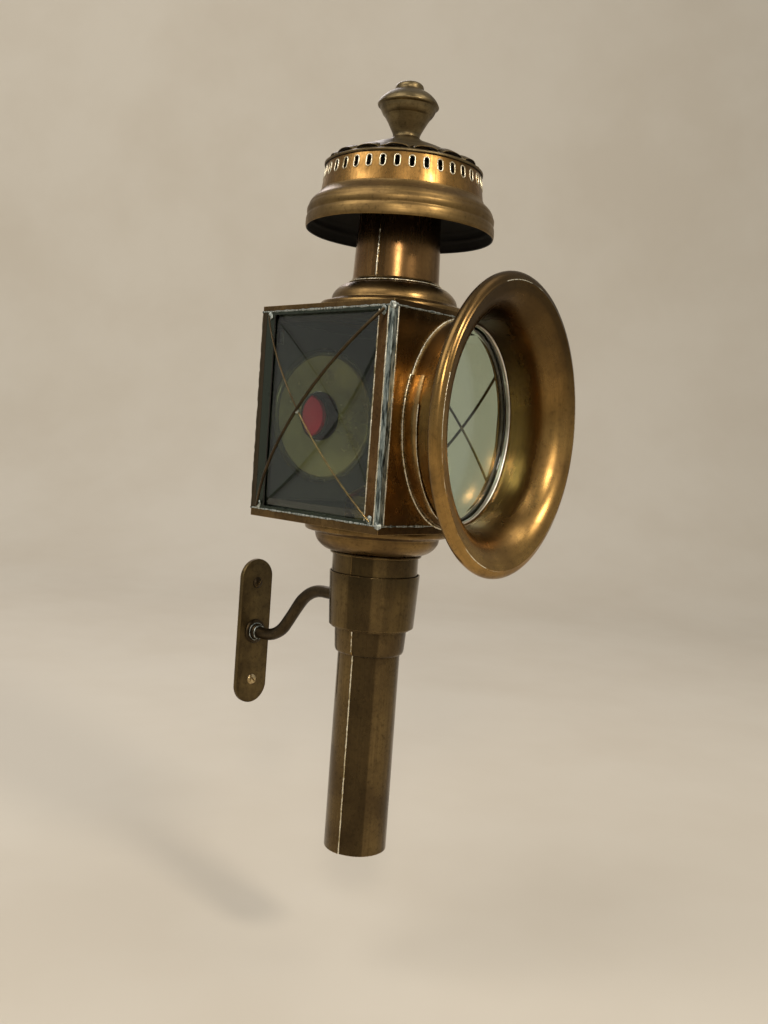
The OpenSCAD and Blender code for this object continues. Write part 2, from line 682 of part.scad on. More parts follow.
function flue_r(z) = flue_r0 + (flue_r1 - flue_r0) * (z - body_top_z) / flue_h;
flue_top_z = body_top_z + flue_h;

module chimney_neck() color(brass) on_axis() cone_tube(flue_r0, flue_r1, body_top_z, flue_top_z, flue_t);

// the stays are cut to the slopes of the neck and of the gallery
stay_z = flue_top_z - stay_h - 0.2;
module cap_stays() color(dark_brass) on_axis() difference() {
    intersection() {
        for (i = [0:stay_count - 1]) rotate([0, 0, 90 + i * 360 / stay_count])
            translate([flue_r1 - 1, -stay_t / 2, stay_z]) cube([gallery_r0, stay_t, stay_h]);
        translate([0, 0, gallery_z])
            cylinder(r1 = gallery_r0 - cap_t - snug, r2 = gallery_r1 - cap_t - snug, h = gallery_h);
    }
    translate([0, 0, body_top_z]) cylinder(r1 = flue_r0 + snug, r2 = flue_r1 + snug, h = flue_h);
}

// the skirt's outline: a plain band, a groove, a second band and a rounded shoulder
skirt_line = [[skirt_r - 0.4, 0], [skirt_r, 0.05 * skirt_h], [skirt_r + 0.1, 0.14 * skirt_h],
    [skirt_r - 0.1, 0.27 * skirt_h], [skirt_r - 0.7, 0.34 * skirt_h], [skirt_r - 0.4, 0.41 * skirt_h],
    [skirt_r - 0.4, 0.51 * skirt_h], [skirt_r - 1.2, 0.6 * skirt_h], [skirt_r - 1.6, 0.66 * skirt_h],
    [skirt_r - 2.9, 0.75 * skirt_h], [gallery_r0 + 3.5, 0.82 * skirt_h],
    [gallery_r0 + 1.9, 0.89 * skirt_h], [gallery_r0 + 0.7, 0.96 * skirt_h],
    [gallery_r0 + 0.4, skirt_h]];
module cap_skirt() color(brass) on_axis() translate([0, 0, cap_z]) turned(concat(skirt_line,
    [[gallery_r0 - cap_t, skirt_h]],
    [for (i = [len(skirt_line) - 2:-1:0])
        [skirt_line[i][0] - 1.4 * cap_t, max(skirt_line[i][1] - cap_t / 2, 0)]]));

module gallery_slot() translate([gallery_r1 - cap_t - 3, 0, 0]) rotate([90, 0, 90])
    linear_extrude(gallery_r0 - gallery_r1 + cap_t + 6) {
    translate([-slot_w / 2, -(slot_h - slot_w) / 2]) square([slot_w, slot_h - slot_w]);
    for (s = [-1, 1]) translate([0, s * (slot_h - slot_w) / 2]) circle(d = slot_w);
}

slot_top = 2.7;
module gallery() color(brass) on_axis() difference() {
    cone_tube(gallery_r0, gallery_r1, gallery_z, roof_z, cap_t);
    for (i = [0:slot_count - 1]) rotate([0, 0, i * 360 / slot_count])
        translate([0, 0, roof_z - slot_top - slot_h / 2]) gallery_slot();
}

roof_rim_r = gallery_r1 + 0.7;
roof_top_r = 8.2;
roof_line = concat([[roof_rim_r, 0], [roof_rim_r, 0.045 * roof_h]],
    [for (p = [[0.89, 0.165], [0.69, 0.385], [0.39, 0.65], [0.1, 0.875]])
        [roof_top_r + p[0] * (roof_rim_r - roof_top_r), p[1] * roof_h]],
    [[roof_top_r, roof_h]]);
module roof() color(old_brass) on_axis() translate([0, 0, roof_z]) difference() {
    turned(concat(roof_line, [[stud_d / 2 + snug, roof_h], [stud_d / 2 + snug, roof_h - cap_t]],
        [for (i = [len(roof_line) - 1:-1:2]) roof_line[i] - [cap_t / 2, cap_t]],
        [[gallery_r1 - cap_t, 0]]));
    // each vent is a half moon whose straight side lies along the rim
    for (i = [0:vent_count - 1]) rotate([0, 0, (i + 0.5) * 360 / vent_count]) intersection() {
        translate([roof_rim_r - 2.8, 0, -cut]) cylinder(r = vent_r, h = roof_h);
        translate([roof_rim_r - 2.8 - 2 * vent_r, -vent_r - cut, -cut])
            cube([2 * vent_r, 2 * vent_r + 2 * cut, roof_h]);
    }
}

baffle_z = roof_z + 0.38 * roof_h;
baffle_drop = 7.5;
module smoke_baffle() color("dimgray") on_axis() translate([0, 0, baffle_z]) turned([
    [stud_d / 2 + snug, 0], [1.33 * stud_d, 0], [baffle_r, -baffle_drop],
    [baffle_r, -baffle_drop + cap_t], [1.33 * stud_d, cap_t], [stud_d / 2 + snug, cap_t]]);

module baffle_spacer() color(old_brass) on_axis() cone_tube(stud_d / 2 + 1.6, stud_d / 2 + 1.6,
    baffle_z + cap_t, finial_z - cap_t, 1.6 - snug);

nut_h = 0.67 * stud_d;
module baffle_nut() color(old_brass) on_axis() translate([0, 0, baffle_z - nut_h]) difference() {
    cylinder(d = 1.9 * stud_d, h = nut_h, $fn = 6);
    translate([0, 0, -cut]) cylinder(d = stud_d + 2 * run_fit, h = nut_h + 2 * cut);
}

// the finial's outline, as shares of its flange's radius and of its height
finial_line = [[0.445, 0], [0.44, 0.045], [0.466, 0.095], [0.53, 0.166], [0.603, 0.243], [0.683, 0.32],
    [0.746, 0.377], [0.767, 0.389], [0.804, 0.412], [0.857, 0.457], [0.894, 0.504], [0.915, 0.54],
    [0.974, 0.558], [1, 0.582], [0.984, 0.605], [0.937, 0.653], [0.862, 0.7], [0.757, 0.751],
    [0.635, 0.795], [0.534, 0.825], [0.487, 0.84], [0.471, 0.861], [0.471, 0.896], [0.45, 0.932],
    [0.392, 0.964], [0.296, 0.985], [0.159, 0.997], [0, 1]];
module finial() color(old_brass) on_axis() {
    translate([0, 0, finial_z])
        turned(concat([[0, 0]], [for (p = finial_line) [p[0] * finial_r, p[1] * finial_h]]));
    translate([0, 0, baffle_z - nut_h - 1]) cylinder(d = stud_d, h = finial_z - baffle_z + nut_h + 2);
}

// Candle tube and nozzle

module candle_tube() color(brass) on_axis() cone_tube(tube_r, tube_r, tube_bottom_z, tube_top_z, tube_t);

collar_top_z = sleeve_top_z - 1.2;
collar_low_z = sleeve_z - collar_show;
module tube_collar() color(brass) on_axis() turned([
    [tube_r + snug, collar_low_z], [tube_r + 0.9, collar_low_z], [collar_r - 1.1, collar_low_z + 1.1],
    [collar_r - 0.7, collar_low_z + 2.6], [collar_r, sleeve_z - socket_drop - 1], [collar_r, collar_top_z],
    [tube_r + snug, collar_top_z], [tube_r + snug, collar_top_z - collar_t],
    [collar_r - collar_t, collar_top_z - collar_t], [collar_r - collar_t, sleeve_z - 2],
    [collar_r - 0.7 - collar_t, collar_low_z + 3], [tube_r + snug, collar_low_z + collar_t]]);

module tube_end() color(old_brass) on_axis() translate([0, 0, tube_bottom_z + 0.8])
    cylinder(r = tube_r - tube_t - snug, h = disc_t);

nozzle_in_r = tube_r + 0.2;
nozzle_out_r = nozzle_in_r + nozzle_t;
nozzle_z0 = tube_top_z - nozzle_skirt;
pin_z = tube_top_z - nozzle_skirt / 2;
nozzle_slope = nozzle_cone_h / (nozzle_out_r - nozzle_hole_r);
// height where the nozzle's cone starts, and how thick the cone is from top to bottom
cone_z = tube_top_z + 1;
cone_t = 1.2 * nozzle_t;

module tube_pins() color(old_brass) on_axis() for (a = [0, 180]) rotate([0, 0, a])
    translate([tube_r, 0, pin_z]) rotate([0, 90, 0]) cylinder(r = pin_r, h = nozzle_t + 0.4);

// each slot leads up from the skirt's edge and then round to the pin
module bayonet_slot() {
    h = 2 * pin_r + 2 * seat;
    w = asin(h / nozzle_out_r);
    rotate([0, 0, -bayonet_turn - w / 2]) rotate_extrude(angle = bayonet_turn + w)
        translate([nozzle_in_r - cut, pin_z - h / 2]) square([nozzle_t + 2 * cut, h]);
    rotate([0, 0, -bayonet_turn]) translate([nozzle_in_r - cut, -h / 2, nozzle_z0 - cut])
        cube([nozzle_t + 2 * cut, h, pin_z - nozzle_z0 + cut]);
}

module nozzle() color(brass) on_axis() difference() {
    cone_tube(nozzle_out_r, nozzle_out_r, nozzle_z0, cone_z, nozzle_t);
    for (a = [0, 180]) rotate([0, 0, a]) bayonet_slot();
}

// the cone is soldered on the nozzle's skirt, and the candle's shoulder presses up into it
module nozzle_cone() color(brass) on_axis() turned([
    [nozzle_out_r - cone_t / nozzle_slope, cone_z], [nozzle_out_r, cone_z],
    [nozzle_hole_r, cone_z + nozzle_cone_h], [nozzle_hole_r, cone_z + nozzle_cone_h - cone_t]]);

// Candle, follower and spring

candle_gap = 3 * seat;
shoulder_z = cone_z + nozzle_slope * (nozzle_out_r - candle_r) - cone_t - candle_gap;
candle_top_r = nozzle_hole_r - 1;
candle_top_z = shoulder_z + nozzle_slope * (candle_r - candle_top_r);
candle_z = candle_top_z - candle_len;
module candle() color("ivory") on_axis() turned([
    [0, candle_z], [candle_r, candle_z], [candle_r, shoulder_z],
    [candle_top_r, candle_top_z], [2.5, candle_top_z - 1], [0, candle_top_z - 1]]);

module wick() color("dimgray") on_axis() translate([0, 0, candle_top_z - 1])
    cylinder(r1 = 1, r2 = 0.8, h = wick_len + 1);

follower_r = tube_r - tube_t - 0.6;
module candle_follower() color(old_brass) on_axis() turned([
    [0, candle_z - disc_t], [follower_r - 0.8, candle_z - disc_t],
    [follower_r - 0.8, candle_z - follower_h], [follower_r, candle_z - follower_h],
    [follower_r, candle_z], [0, candle_z]]);

// the spring is one wire: a closed curl at each end and even curls between, from the end disc
// up to the follower, with 8 rings a curl and 6 sides
spring_r = follower_r - 0.8 - spring_wire_r - 1;
spring_z0 = tube_bottom_z + 0.8 + disc_t + spring_wire_r + seat;
spring_z1 = candle_z - disc_t - spring_wire_r - seat;
close_pitch = 2 * spring_wire_r + 0.6;
open_pitch = (spring_z1 - spring_z0 - 2 * close_pitch) / (spring_curls - 2);
function spring_h(turn) = turn <= 1 ? close_pitch * turn
    : turn >= spring_curls - 1 ? spring_z1 - spring_z0 - close_pitch * (spring_curls - turn)
    : close_pitch + open_pitch * (turn - 1);
function spring_at(turn) =
    [spring_r * cos(360 * turn), spring_r * sin(360 * turn), spring_z0 + spring_h(turn)];
spring_rings = 8 * spring_curls;
spring_sides = 6;

module candle_spring() color("slategray") on_axis() {
    points = [for (k = [0:spring_rings], s = [0:spring_sides - 1])
        let (turn = k / 8, a = 360 * s / spring_sides)
        spring_at(turn) + spring_wire_r * [cos(a) * cos(360 * turn), cos(a) * sin(360 * turn), sin(a)]];
    walls = [for (k = [0:spring_rings - 1], s = [0:spring_sides - 1]) each
        let (s2 = (s + 1) % spring_sides, p = k * spring_sides, q = p + spring_sides)
        [[p + s, p + s2, q + s2], [p + s, q + s2, q + s]]];
    last = spring_rings * spring_sides;
    ends = [for (s = [1:spring_sides - 2]) each [[0, s + 1, s], [last, last + s, last + s + 1]]];
    polyhedron(points, concat(walls, ends));
}

// least gap between one curl and the next, over the spring's points
spring_gap = min([for (k = [0:spring_rings - 8]) norm(spring_at(k / 8 + 1) - spring_at(k / 8))])
    - 2 * spring_wire_r;
echo(least_gap_between_curls = spring_gap);

wall_plate();
rod_washer();
bracket_rod();
bracket_sleeve();
socket();
bottom_dome();
bottom_plate();
top_plate();
corner_posts();
front_plate();
bell();
neck_band();
glass_seat();
front_glass();
front_bezel();
left_frame();
left_glass();
left_guard();
right_frame();
right_glass();
right_guard();
door_frame();
door_panel();
reflector();
lens_tube();
red_lens();
lens_bezel();
door_knob();
door_clip();
body_hinges();
door_hinges();
hinge_pins();
chimney_foot();
chimney_neck();
cap_stays();
cap_skirt();
gallery();
roof();
smoke_baffle();
baffle_spacer();
baffle_nut();
finial();
candle_tube();
tube_collar();
tube_end();
tube_pins();
nozzle();
nozzle_cone();
candle();
wick();
candle_follower();
candle_spring();
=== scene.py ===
import math
import random
from math import cos, radians, sin, tau

import bmesh
import bpy
from bmesh.types import BMEdge, BMFace, BMVert
from mathutils import Matrix, Vector, noise


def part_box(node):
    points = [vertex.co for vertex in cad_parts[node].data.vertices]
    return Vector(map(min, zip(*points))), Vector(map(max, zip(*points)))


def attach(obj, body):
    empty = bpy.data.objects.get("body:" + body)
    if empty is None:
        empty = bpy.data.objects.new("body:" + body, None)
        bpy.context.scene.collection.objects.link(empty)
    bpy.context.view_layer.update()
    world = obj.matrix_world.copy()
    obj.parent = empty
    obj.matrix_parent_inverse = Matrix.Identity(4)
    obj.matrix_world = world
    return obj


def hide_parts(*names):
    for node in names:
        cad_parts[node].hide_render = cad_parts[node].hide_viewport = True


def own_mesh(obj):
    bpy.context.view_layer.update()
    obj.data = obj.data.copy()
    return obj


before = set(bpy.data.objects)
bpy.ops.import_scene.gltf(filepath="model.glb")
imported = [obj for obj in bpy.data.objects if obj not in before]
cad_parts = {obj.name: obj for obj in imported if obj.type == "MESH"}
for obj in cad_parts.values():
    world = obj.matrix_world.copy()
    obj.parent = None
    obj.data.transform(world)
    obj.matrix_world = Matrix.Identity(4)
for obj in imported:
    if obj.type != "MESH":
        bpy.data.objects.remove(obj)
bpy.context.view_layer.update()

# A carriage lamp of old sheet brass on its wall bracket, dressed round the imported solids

# Sizes in millimetres, the same as in the solids

MM = 0.001
REACH = 120.0  # the lamp's axis stands this far off the wall
HALF = 57.0  # half the lantern's width
BODY_Z, BODY_TOP_Z = 90.0, 220.0
WINDOW_Z0, WINDOW_Z1 = 95.0, 216.5
WINDOW_MID_Z = (WINDOW_Z0 + WINDOW_Z1) / 2
PLATE_W, PLATE_H, PLATE_T, WASHER_T = 27.0, 104.0, 3.0, 1.6
SCREW_Z = 35.0  # the wall screws are this far above and below the rod
ROD_R, ROD_START, ROD_BEND_R, ROD_CLIMB, ROD_RISE = 4.1, 9.5, 30.0, 52.0, 39.6  # the climb in degrees
SLEEVE_Z, SLEEVE_TOP_Z = 25.5, 59.2
COLLAR_Z, COLLAR_TOP_Z = 8.5, 58.0
CAP_Z = BODY_TOP_Z + 49.7
SKIRT_R, SKIRT_H = 58.2, 21.5
GALLERY_R0, GALLERY_R1, GALLERY_H = 50.1, 47.7, 16.7
GALLERY_Z = CAP_Z + SKIRT_H
ROOF_Z = GALLERY_Z + GALLERY_H
SLOTS, SLOT_TOP, SLOT_H = 36, 2.7, 6.2  # the gallery's slots start this far below the roof
VENTS, VENT_START, VENT_R, VENT_Z = 16, 0.68, 44.8, ROOF_Z + 2.2  # the start in shares of a step round
ROOF_SLOPE = 29.0  # degrees
FINIAL_Z = ROOF_Z + 20.3
FINIAL_R, FINIAL_H = 18.9, 33.7
TUBE_R, TUBE_Z0, TUBE_Z1 = 19.7, -118.0, 106.0
BELL_Z = WINDOW_MID_Z - 0.75
NECK_A, NECK_B, STRETCH = 42.0, 59.2, 1.28  # the bell's neck inside, and how much more it opens upright
NECK_LEN, FLARE_LEN, FLARE_OUT, ROLL = 11.0, 32.4, 16.5, 4.5
BAND_START, BAND_SWEEP = 156, 225  # degrees round the bell's neck
TUBE_SEAM, NECK_SEAM, SOCKET_SEAM, SLEEVE_SEAM = 195.5, 199.0, 193.0, 330.0  # degrees round the axis
WIRE_OUT, WIRE_END_Y, WIRE_END_Z = 0.95, 50.5, 58.95  # a guard wire's ends, from the middle of its window
WIRE_STEPS = 40


# Camera

def aim(camera, place, yaw, pitch, roll):
    """Puts the camera at a place in mm, with its angles in degrees: yaw from +Y towards +X."""
    y, p, r = (radians(a) for a in (yaw, pitch, roll))
    forward = Vector((sin(y) * cos(p), cos(y) * cos(p), sin(p)))
    right = Vector((cos(y), -sin(y), 0))
    up = right.cross(forward)
    across = cos(r) * right + sin(r) * up
    upright = -sin(r) * right + cos(r) * up
    turn = Matrix((across, upright, -forward)).transposed().to_4x4()
    camera.matrix_world = Matrix.Translation(Vector(place) * MM) @ turn


scene = bpy.context.scene
scene.view_settings.view_transform = "Standard"
camera = bpy.data.objects.new("camera", bpy.data.cameras.new("camera"))
scene.collection.objects.link(camera)
scene.camera = camera
camera.data.lens = 35.62
camera.data.sensor_width = 36.0
aim(camera, place=(-451.6, -570.1, 141.0), yaw=45.38, pitch=-3.88, roll=4.20)


# Materials

def linear(code):
    """An sRGB hex colour as linear RGBA."""
    channels = (int(code[i:i + 2], 16) / 255 for i in (1, 3, 5))
    return tuple(c / 12.92 if c <= 0.04045 else ((c + 0.055) / 1.055) ** 2.4 for c in channels) + (1.0,)


def add(tree, kind, inputs, **settings):
    """Adds one node with its settings. An input takes a value, or the output or node that it is linked to."""
    made = tree.nodes.new("ShaderNode" + kind)
    for name, value in settings.items():
        setattr(made, name, value)
    for key, value in inputs.items():
        if isinstance(value, bpy.types.Node):
            value = value.outputs[0]
        if isinstance(value, bpy.types.NodeSocket):
            tree.links.new(value, made.inputs[key])
        else:
            made.inputs[key].default_value = value
    return made


def start_material(name):
    """An empty material, its node tree, and the place on its piece in millimetres."""
    made = bpy.data.materials.new(name)
    made.use_nodes = True
    tree = made.node_tree
    tree.nodes.clear()
    coords = add(tree, "TexCoord", {})
    place = add(tree, "VectorMath", {0: coords.outputs["Object"], 1: (1000,) * 3}, operation="MULTIPLY")
    return made, tree, place.outputs[0]


def stained(tree, under, code, pattern, start, full, most=1.0):
    """Lets another colour come in as a pattern's value goes from start to full."""
    share = add(tree, "MapRange", {0: pattern, 1: start, 2: full, 4: most})
    return add(tree, "Mix", {0: share, 6: under, 7: linear(code)}, data_type="RGBA").outputs[2]


TURNED_LINES = (0.02, 0.02, 1.3)  # cells per mm along X, Y and Z: fine lines round the axis
DRAWN_LINES = (0.5, 0.5, 0.008)  # lines and runs up and down
ROLLED_SHEET = (0.3, 0.3, 0.12)  # short marks with no clear direction
# Painted reflections of the room: how dark each upright band round the axis is painted, with the degree where
# it starts, from the left by way of the front
TUBE_REFLECTION_BANDS = ((0, 0.08), (15.5, 0.62), (59, 0.2), (106, 0.4), (135, 0.5), (200, 0.2), (260, 0.55),
              (312, 0.08))
SLEEVE_REFLECTION_BANDS = ((0, 0.1), (12, 0.6), (43, 0.0), (60, 0.35), (97, 0.12), (135, 0.4), (210, 0.1), (270, 0.5),
                (318, 0.1))
NECK_REFLECTION_BANDS = ((0, 0.0), (11, 0.55), (29, 0.15), (95, 0.35), (140, 0.1), (215, 0.4), (300, 0.0))
GALLERY_REFLECTION_BANDS = ((0, 0.1), (30, 0.35), (47, 0.1), (88, 0.3), (130, 0.1), (205, 0.35), (280, 0.1))
PANE_HALF = 58.0  # half the height of a side pane in sight
BELL_RINGS = 1.38  # the rings that the spinner's tool left are this much taller than wide


def sooted_and_shaded_inside(tree, place, surface, relief):
    """Lays near-black over the faces that look towards the lamp's axis, or down: candle soot, and painted
    shade on the inner faces and undersides.
    """
    outward = place
    for step, by in (("ADD", (0, REACH, 0)), ("MULTIPLY", (1, 1, 0)), ("NORMALIZE", (0, 0, 0)),
                     ("ADD", (0, 0, 0.8))):
        outward = add(tree, "VectorMath", {0: outward, 1: by}, operation=step)
    facing = add(tree, "TexCoord", {}).outputs["Normal"]
    side = add(tree, "VectorMath", {0: facing, 1: outward}, operation="DOT_PRODUCT")
    inside = add(tree, "MapRange", {0: side.outputs["Value"], 1: -0.1, 2: -0.3})
    clouds = add(tree, "TexNoise", {"Vector": place, "Scale": 1 / 24, "Detail": 5.0, "Roughness": 0.6})
    # the near-black tone of candle soot and painted shade
    grime = add(tree, "Mix", {0: clouds, 6: linear("#0f0e0c"), 7: linear("#24211b")}, data_type="RGBA")
    black = add(tree, "BsdfPrincipled", {"Base Color": grime.outputs[2], "Roughness": 0.75, "Normal": relief})
    return add(tree, "MixShader", {0: inside, 1: surface, 2: black})


def tarnished(tree, colour, stain, lines, rough, relief):
    """Brass that is duller where it is stained, and sways between smoother and rougher from line to line."""
    sway = add(tree, "MapRange", {0: lines, 1: 0.3, 2: 0.7, 3: -0.3, 4: 0.3})
    dullness = add(tree, "Math", {0: stain, 1: sway}, operation="ADD")
    roughness = add(tree, "MapRange", {0: dullness, 3: rough[0], 4: rough[1]})
    return add(tree, "BsdfPrincipled", {"Base Color": colour, "Metallic": 1.0, "Roughness": roughness,
                                        "Normal": relief})


def old_brass(name, bright, dull, dark, rough, lines=TURNED_LINES, patch=24.0, dents=0.06, shine=0.4,
              sooted_and_shaded=False, tinned=False, flats=(), specks=0.5):
    """Sheet brass, spun, drawn or rolled and polished long ago. It is worn bright on its edges, gone brown in
    patches and nearly black in its corners, and its shallow dents and tool lines break up what it mirrors.
    Upright bands round a tube's axis can each be painted a shade darker, as painted reflections of the room."""
    made, tree, place = start_material(name)
    clouds = add(tree, "TexNoise", {"Vector": place, "Scale": 1 / patch, "Detail": 5.0, "Roughness": 0.6})
    mottle = add(tree, "TexNoise", {"Vector": place, "Scale": 0.45, "Detail": 4.0, "Roughness": 0.6})
    along = add(tree, "VectorMath", {0: place, 1: lines}, operation="MULTIPLY")
    streaks = add(tree, "TexNoise", {"Vector": along, "Scale": 1.0, "Detail": 3.0, "Roughness": 0.6})
    waves = add(tree, "TexNoise", {"Vector": place, "Scale": 1 / 18, "Detail": 1.0, "Roughness": 0.4})
    stain = add(tree, "MapRange", {0: clouds, 1: 0.36, 2: 0.66})
    colour = add(tree, "Mix", {0: stain, 6: linear(bright), 7: linear(dull)}, data_type="RGBA").outputs[2]
    colour = stained(tree, colour, dull, streaks, 0.46, 0.72, 0.55)
    colour = stained(tree, colour, dark, mottle, 0.52, 0.74, specks)
    # painted reflections: each upright band round the axis is painted its own shade darker, standing in for
    # the room that the tube mirrors
    if flats:
        parts = add(tree, "SeparateXYZ", {0: place})
        level = add(tree, "Math", {0: parts.outputs[1], 1: REACH}, operation="ADD")
        turn = add(tree, "Math", {0: level, 1: parts.outputs[0]}, operation="ARCTAN2")
        turn = add(tree, "MapRange", {0: turn, 1: -math.pi, 2: math.pi})
        share = add(tree, "ValToRGB", {0: turn})
        stops = share.color_ramp.elements
        for (degrees, shade), (until, _) in zip(flats, flats[1:] + ((360, 0),)):
            for edge in (degrees + 1, until - 1):
                stops.new(edge / 360).color = (shade, shade, shade, 1)
        stops.remove(stops[0])
        stops.remove(stops[-1])
        colour = add(tree, "Mix", {0: share, 6: colour, 7: linear(dark)}, data_type="RGBA").outputs[2]
    # darker in corners and nooks, and rubbing keeps edges bright
    nook = add(tree, "AmbientOcclusion", {"Distance": 5 * MM}, samples=4)
    colour = stained(tree, colour, dark, nook.outputs["AO"], 0.9, 0.35, 0.75)
    rounded = add(tree, "Bevel", {"Radius": 0.5 * MM}, samples=4)
    facing = add(tree, "VectorMath", {0: rounded, 1: add(tree, "NewGeometry", {}).outputs["Normal"]},
                 operation="DOT_PRODUCT")
    colour = stained(tree, colour, "#c9a468", facing.outputs["Value"], 0.985, 0.9, shine)
    if tinned:  # the strips towards the wall, and those above and below the panes, are darker grey-green
        parts = add(tree, "SeparateXYZ", {0: place})
        back = add(tree, "Math", {0: parts.outputs[1], 1: -REACH}, operation="GREATER_THAN")
        level = add(tree, "Math", {0: parts.outputs[2], 1: WINDOW_MID_Z}, operation="SUBTRACT")
        level = add(tree, "Math", {0: level}, operation="ABSOLUTE")
        level = add(tree, "Math", {0: level, 1: PANE_HALF}, operation="GREATER_THAN")
        share = add(tree, "Math", {0: back, 1: level}, operation="MAXIMUM")
        colour = add(tree, "Mix", {0: share, 6: colour, 7: linear("#454c43")}, data_type="RGBA").outputs[2]
    relief = add(tree, "Bump", {"Height": waves, "Distance": dents * MM, "Normal": rounded})
    relief = add(tree, "Bump", {"Height": streaks, "Distance": 0.012 * MM, "Normal": relief})
    relief = add(tree, "Bump", {"Height": mottle, "Distance": 0.01 * MM, "Normal": relief})
    brass = tarnished(tree, colour, stain, streaks, rough, relief)
    # candle soot, and painted shade, on the faces that look inwards or down
    if sooted_and_shaded:
        brass = sooted_and_shaded_inside(tree, place, brass, relief)
    add(tree, "OutputMaterial", {"Surface": brass})
    return made


def spun_bell_brass(name, bright, dull, dark, rough):
    """Sheet brass spun over a former. The spinner's tool leaves fine rings, which draw every highlight out
    across them, and its colour is darkened upwards as painted shade."""
    made, tree, place = start_material(name)
    parts = add(tree, "SeparateXYZ", {0: place})
    height = add(tree, "Math", {0: parts.outputs[2], 1: BELL_Z}, operation="SUBTRACT")
    height = add(tree, "Math", {0: height, 1: 1 / BELL_RINGS}, operation="MULTIPLY")
    flat = add(tree, "CombineXYZ", {0: parts.outputs[0], 1: height})
    radius = add(tree, "VectorMath", {0: flat}, operation="LENGTH")
    ring = add(tree, "CombineXYZ", {0: radius.outputs["Value"], 1: parts.outputs[1]})
    lines = add(tree, "TexNoise", {"Vector": ring, "Scale": 1.2, "Detail": 3.0, "Roughness": 0.65})
    bands = add(tree, "TexNoise", {"Vector": ring, "Scale": 0.16, "Detail": 2.0, "Roughness": 0.5})
    clouds = add(tree, "TexNoise", {"Vector": place, "Scale": 1 / 36, "Detail": 5.0, "Roughness": 0.6})
    mottle = add(tree, "TexNoise", {"Vector": place, "Scale": 0.35, "Detail": 4.0, "Roughness": 0.6})
    waves = add(tree, "TexNoise", {"Vector": place, "Scale": 1 / 26, "Detail": 1.0, "Roughness": 0.4})
    stain = add(tree, "MapRange", {0: clouds, 1: 0.38, 2: 0.64})
    colour = add(tree, "Mix", {0: stain, 6: linear(bright), 7: linear(dull)}, data_type="RGBA").outputs[2]
    colour = stained(tree, colour, dull, lines, 0.42, 0.7, 0.5)
    colour = stained(tree, colour, dark, mottle, 0.52, 0.76, 0.4)
    # painted shade: the bell is stained darker towards its top
    colour = stained(tree, colour, dark, parts.outputs[2], BELL_Z - 8, BELL_Z + 50, 0.8)
    # hands have kept the ridge of the rim bright, and a painted highlight brightens it further
    edge = add(tree, "NewGeometry", {})
    colour = stained(tree, colour, "#dcc08a", edge.outputs["Pointiness"], 0.53, 0.58, 0.8)
    relief = add(tree, "Bump", {"Height": waves, "Distance": 0.05 * MM})
    relief = add(tree, "Bump", {"Height": lines, "Distance": 0.02 * MM, "Normal": relief})
    add(tree, "OutputMaterial", {"Surface": tarnished(tree, colour, stain, bands, rough, relief)})
    return made


def glazing(name, tint, shadow_tint, haze, share=1.0):
    """Old drawn window glass with a ground bevel, or pressed red signal glass: smooth, faintly wavy, with a
    breath of dust. Lamps shine straight through it, so that what is behind it is lit."""
    made, tree, place = start_material(name)
    waves = add(tree, "TexNoise", {"Vector": place, "Scale": 1 / 34, "Detail": 1.0})
    dust = add(tree, "TexNoise", {"Vector": place, "Scale": 0.12, "Detail": 5.0, "Roughness": 0.65})
    roughness = add(tree, "MapRange", {0: dust, 1: 0.5, 2: 0.8, 3: 0.01, 4: haze})
    relief = add(tree, "Bump", {"Height": waves, "Distance": 0.04 * MM})
    glass = add(tree, "BsdfPrincipled", {"Base Color": linear(tint), "Transmission Weight": share, "IOR": 1.5,
                                         "Roughness": roughness, "Normal": relief})
    clear = add(tree, "BsdfTransparent", {"Color": linear(shadow_tint)})
    path = add(tree, "LightPath", {})
    both = add(tree, "MixShader", {0: path.outputs["Is Shadow Ray"], 1: glass, 2: clear})
    add(tree, "OutputMaterial", {"Surface": both})
    return made


def soft_solder(name, pale, grey, dark, metal, rough, dark_towards_wall=False):
    """Tin and lead solder, run on with a hot iron: pale and lumpy, with dark grime in streaks along it."""
    made, tree, place = start_material(name)
    along = add(tree, "VectorMath", {0: place, 1: (0.8, 0.8, 0.12)}, operation="MULTIPLY")
    streaks = add(tree, "TexNoise", {"Vector": along, "Scale": 1.0, "Detail": 4.0, "Roughness": 0.65})
    lumps = add(tree, "TexNoise", {"Vector": place, "Scale": 0.5, "Detail": 3.0})
    colour = stained(tree, linear(pale), grey, streaks, 0.42, 0.56)
    colour = stained(tree, colour, dark, streaks, 0.55, 0.64)
    if dark_towards_wall:  # the posts towards the wall are dark brown
        parts = add(tree, "SeparateXYZ", {0: place})
        back = add(tree, "Math", {0: parts.outputs[1], 1: -REACH}, operation="GREATER_THAN")
        colour = add(tree, "Mix", {0: back, 6: colour, 7: linear("#3d3220")}, data_type="RGBA").outputs[2]
    roughness = add(tree, "MapRange", {0: lumps, 1: 0.3, 2: 0.7, 3: rough[0], 4: rough[1]})
    relief = add(tree, "Bump", {"Height": lumps, "Distance": 0.15 * MM})
    solder = add(tree, "BsdfPrincipled", {"Base Color": colour, "Metallic": metal, "Roughness": roughness,
                                          "Normal": relief})
    # candle soot, and painted shade, on the faces that look inwards or down
    if dark_towards_wall:
        solder = sooted_and_shaded_inside(tree, place, solder, relief)
    add(tree, "OutputMaterial", {"Surface": solder})
    return made


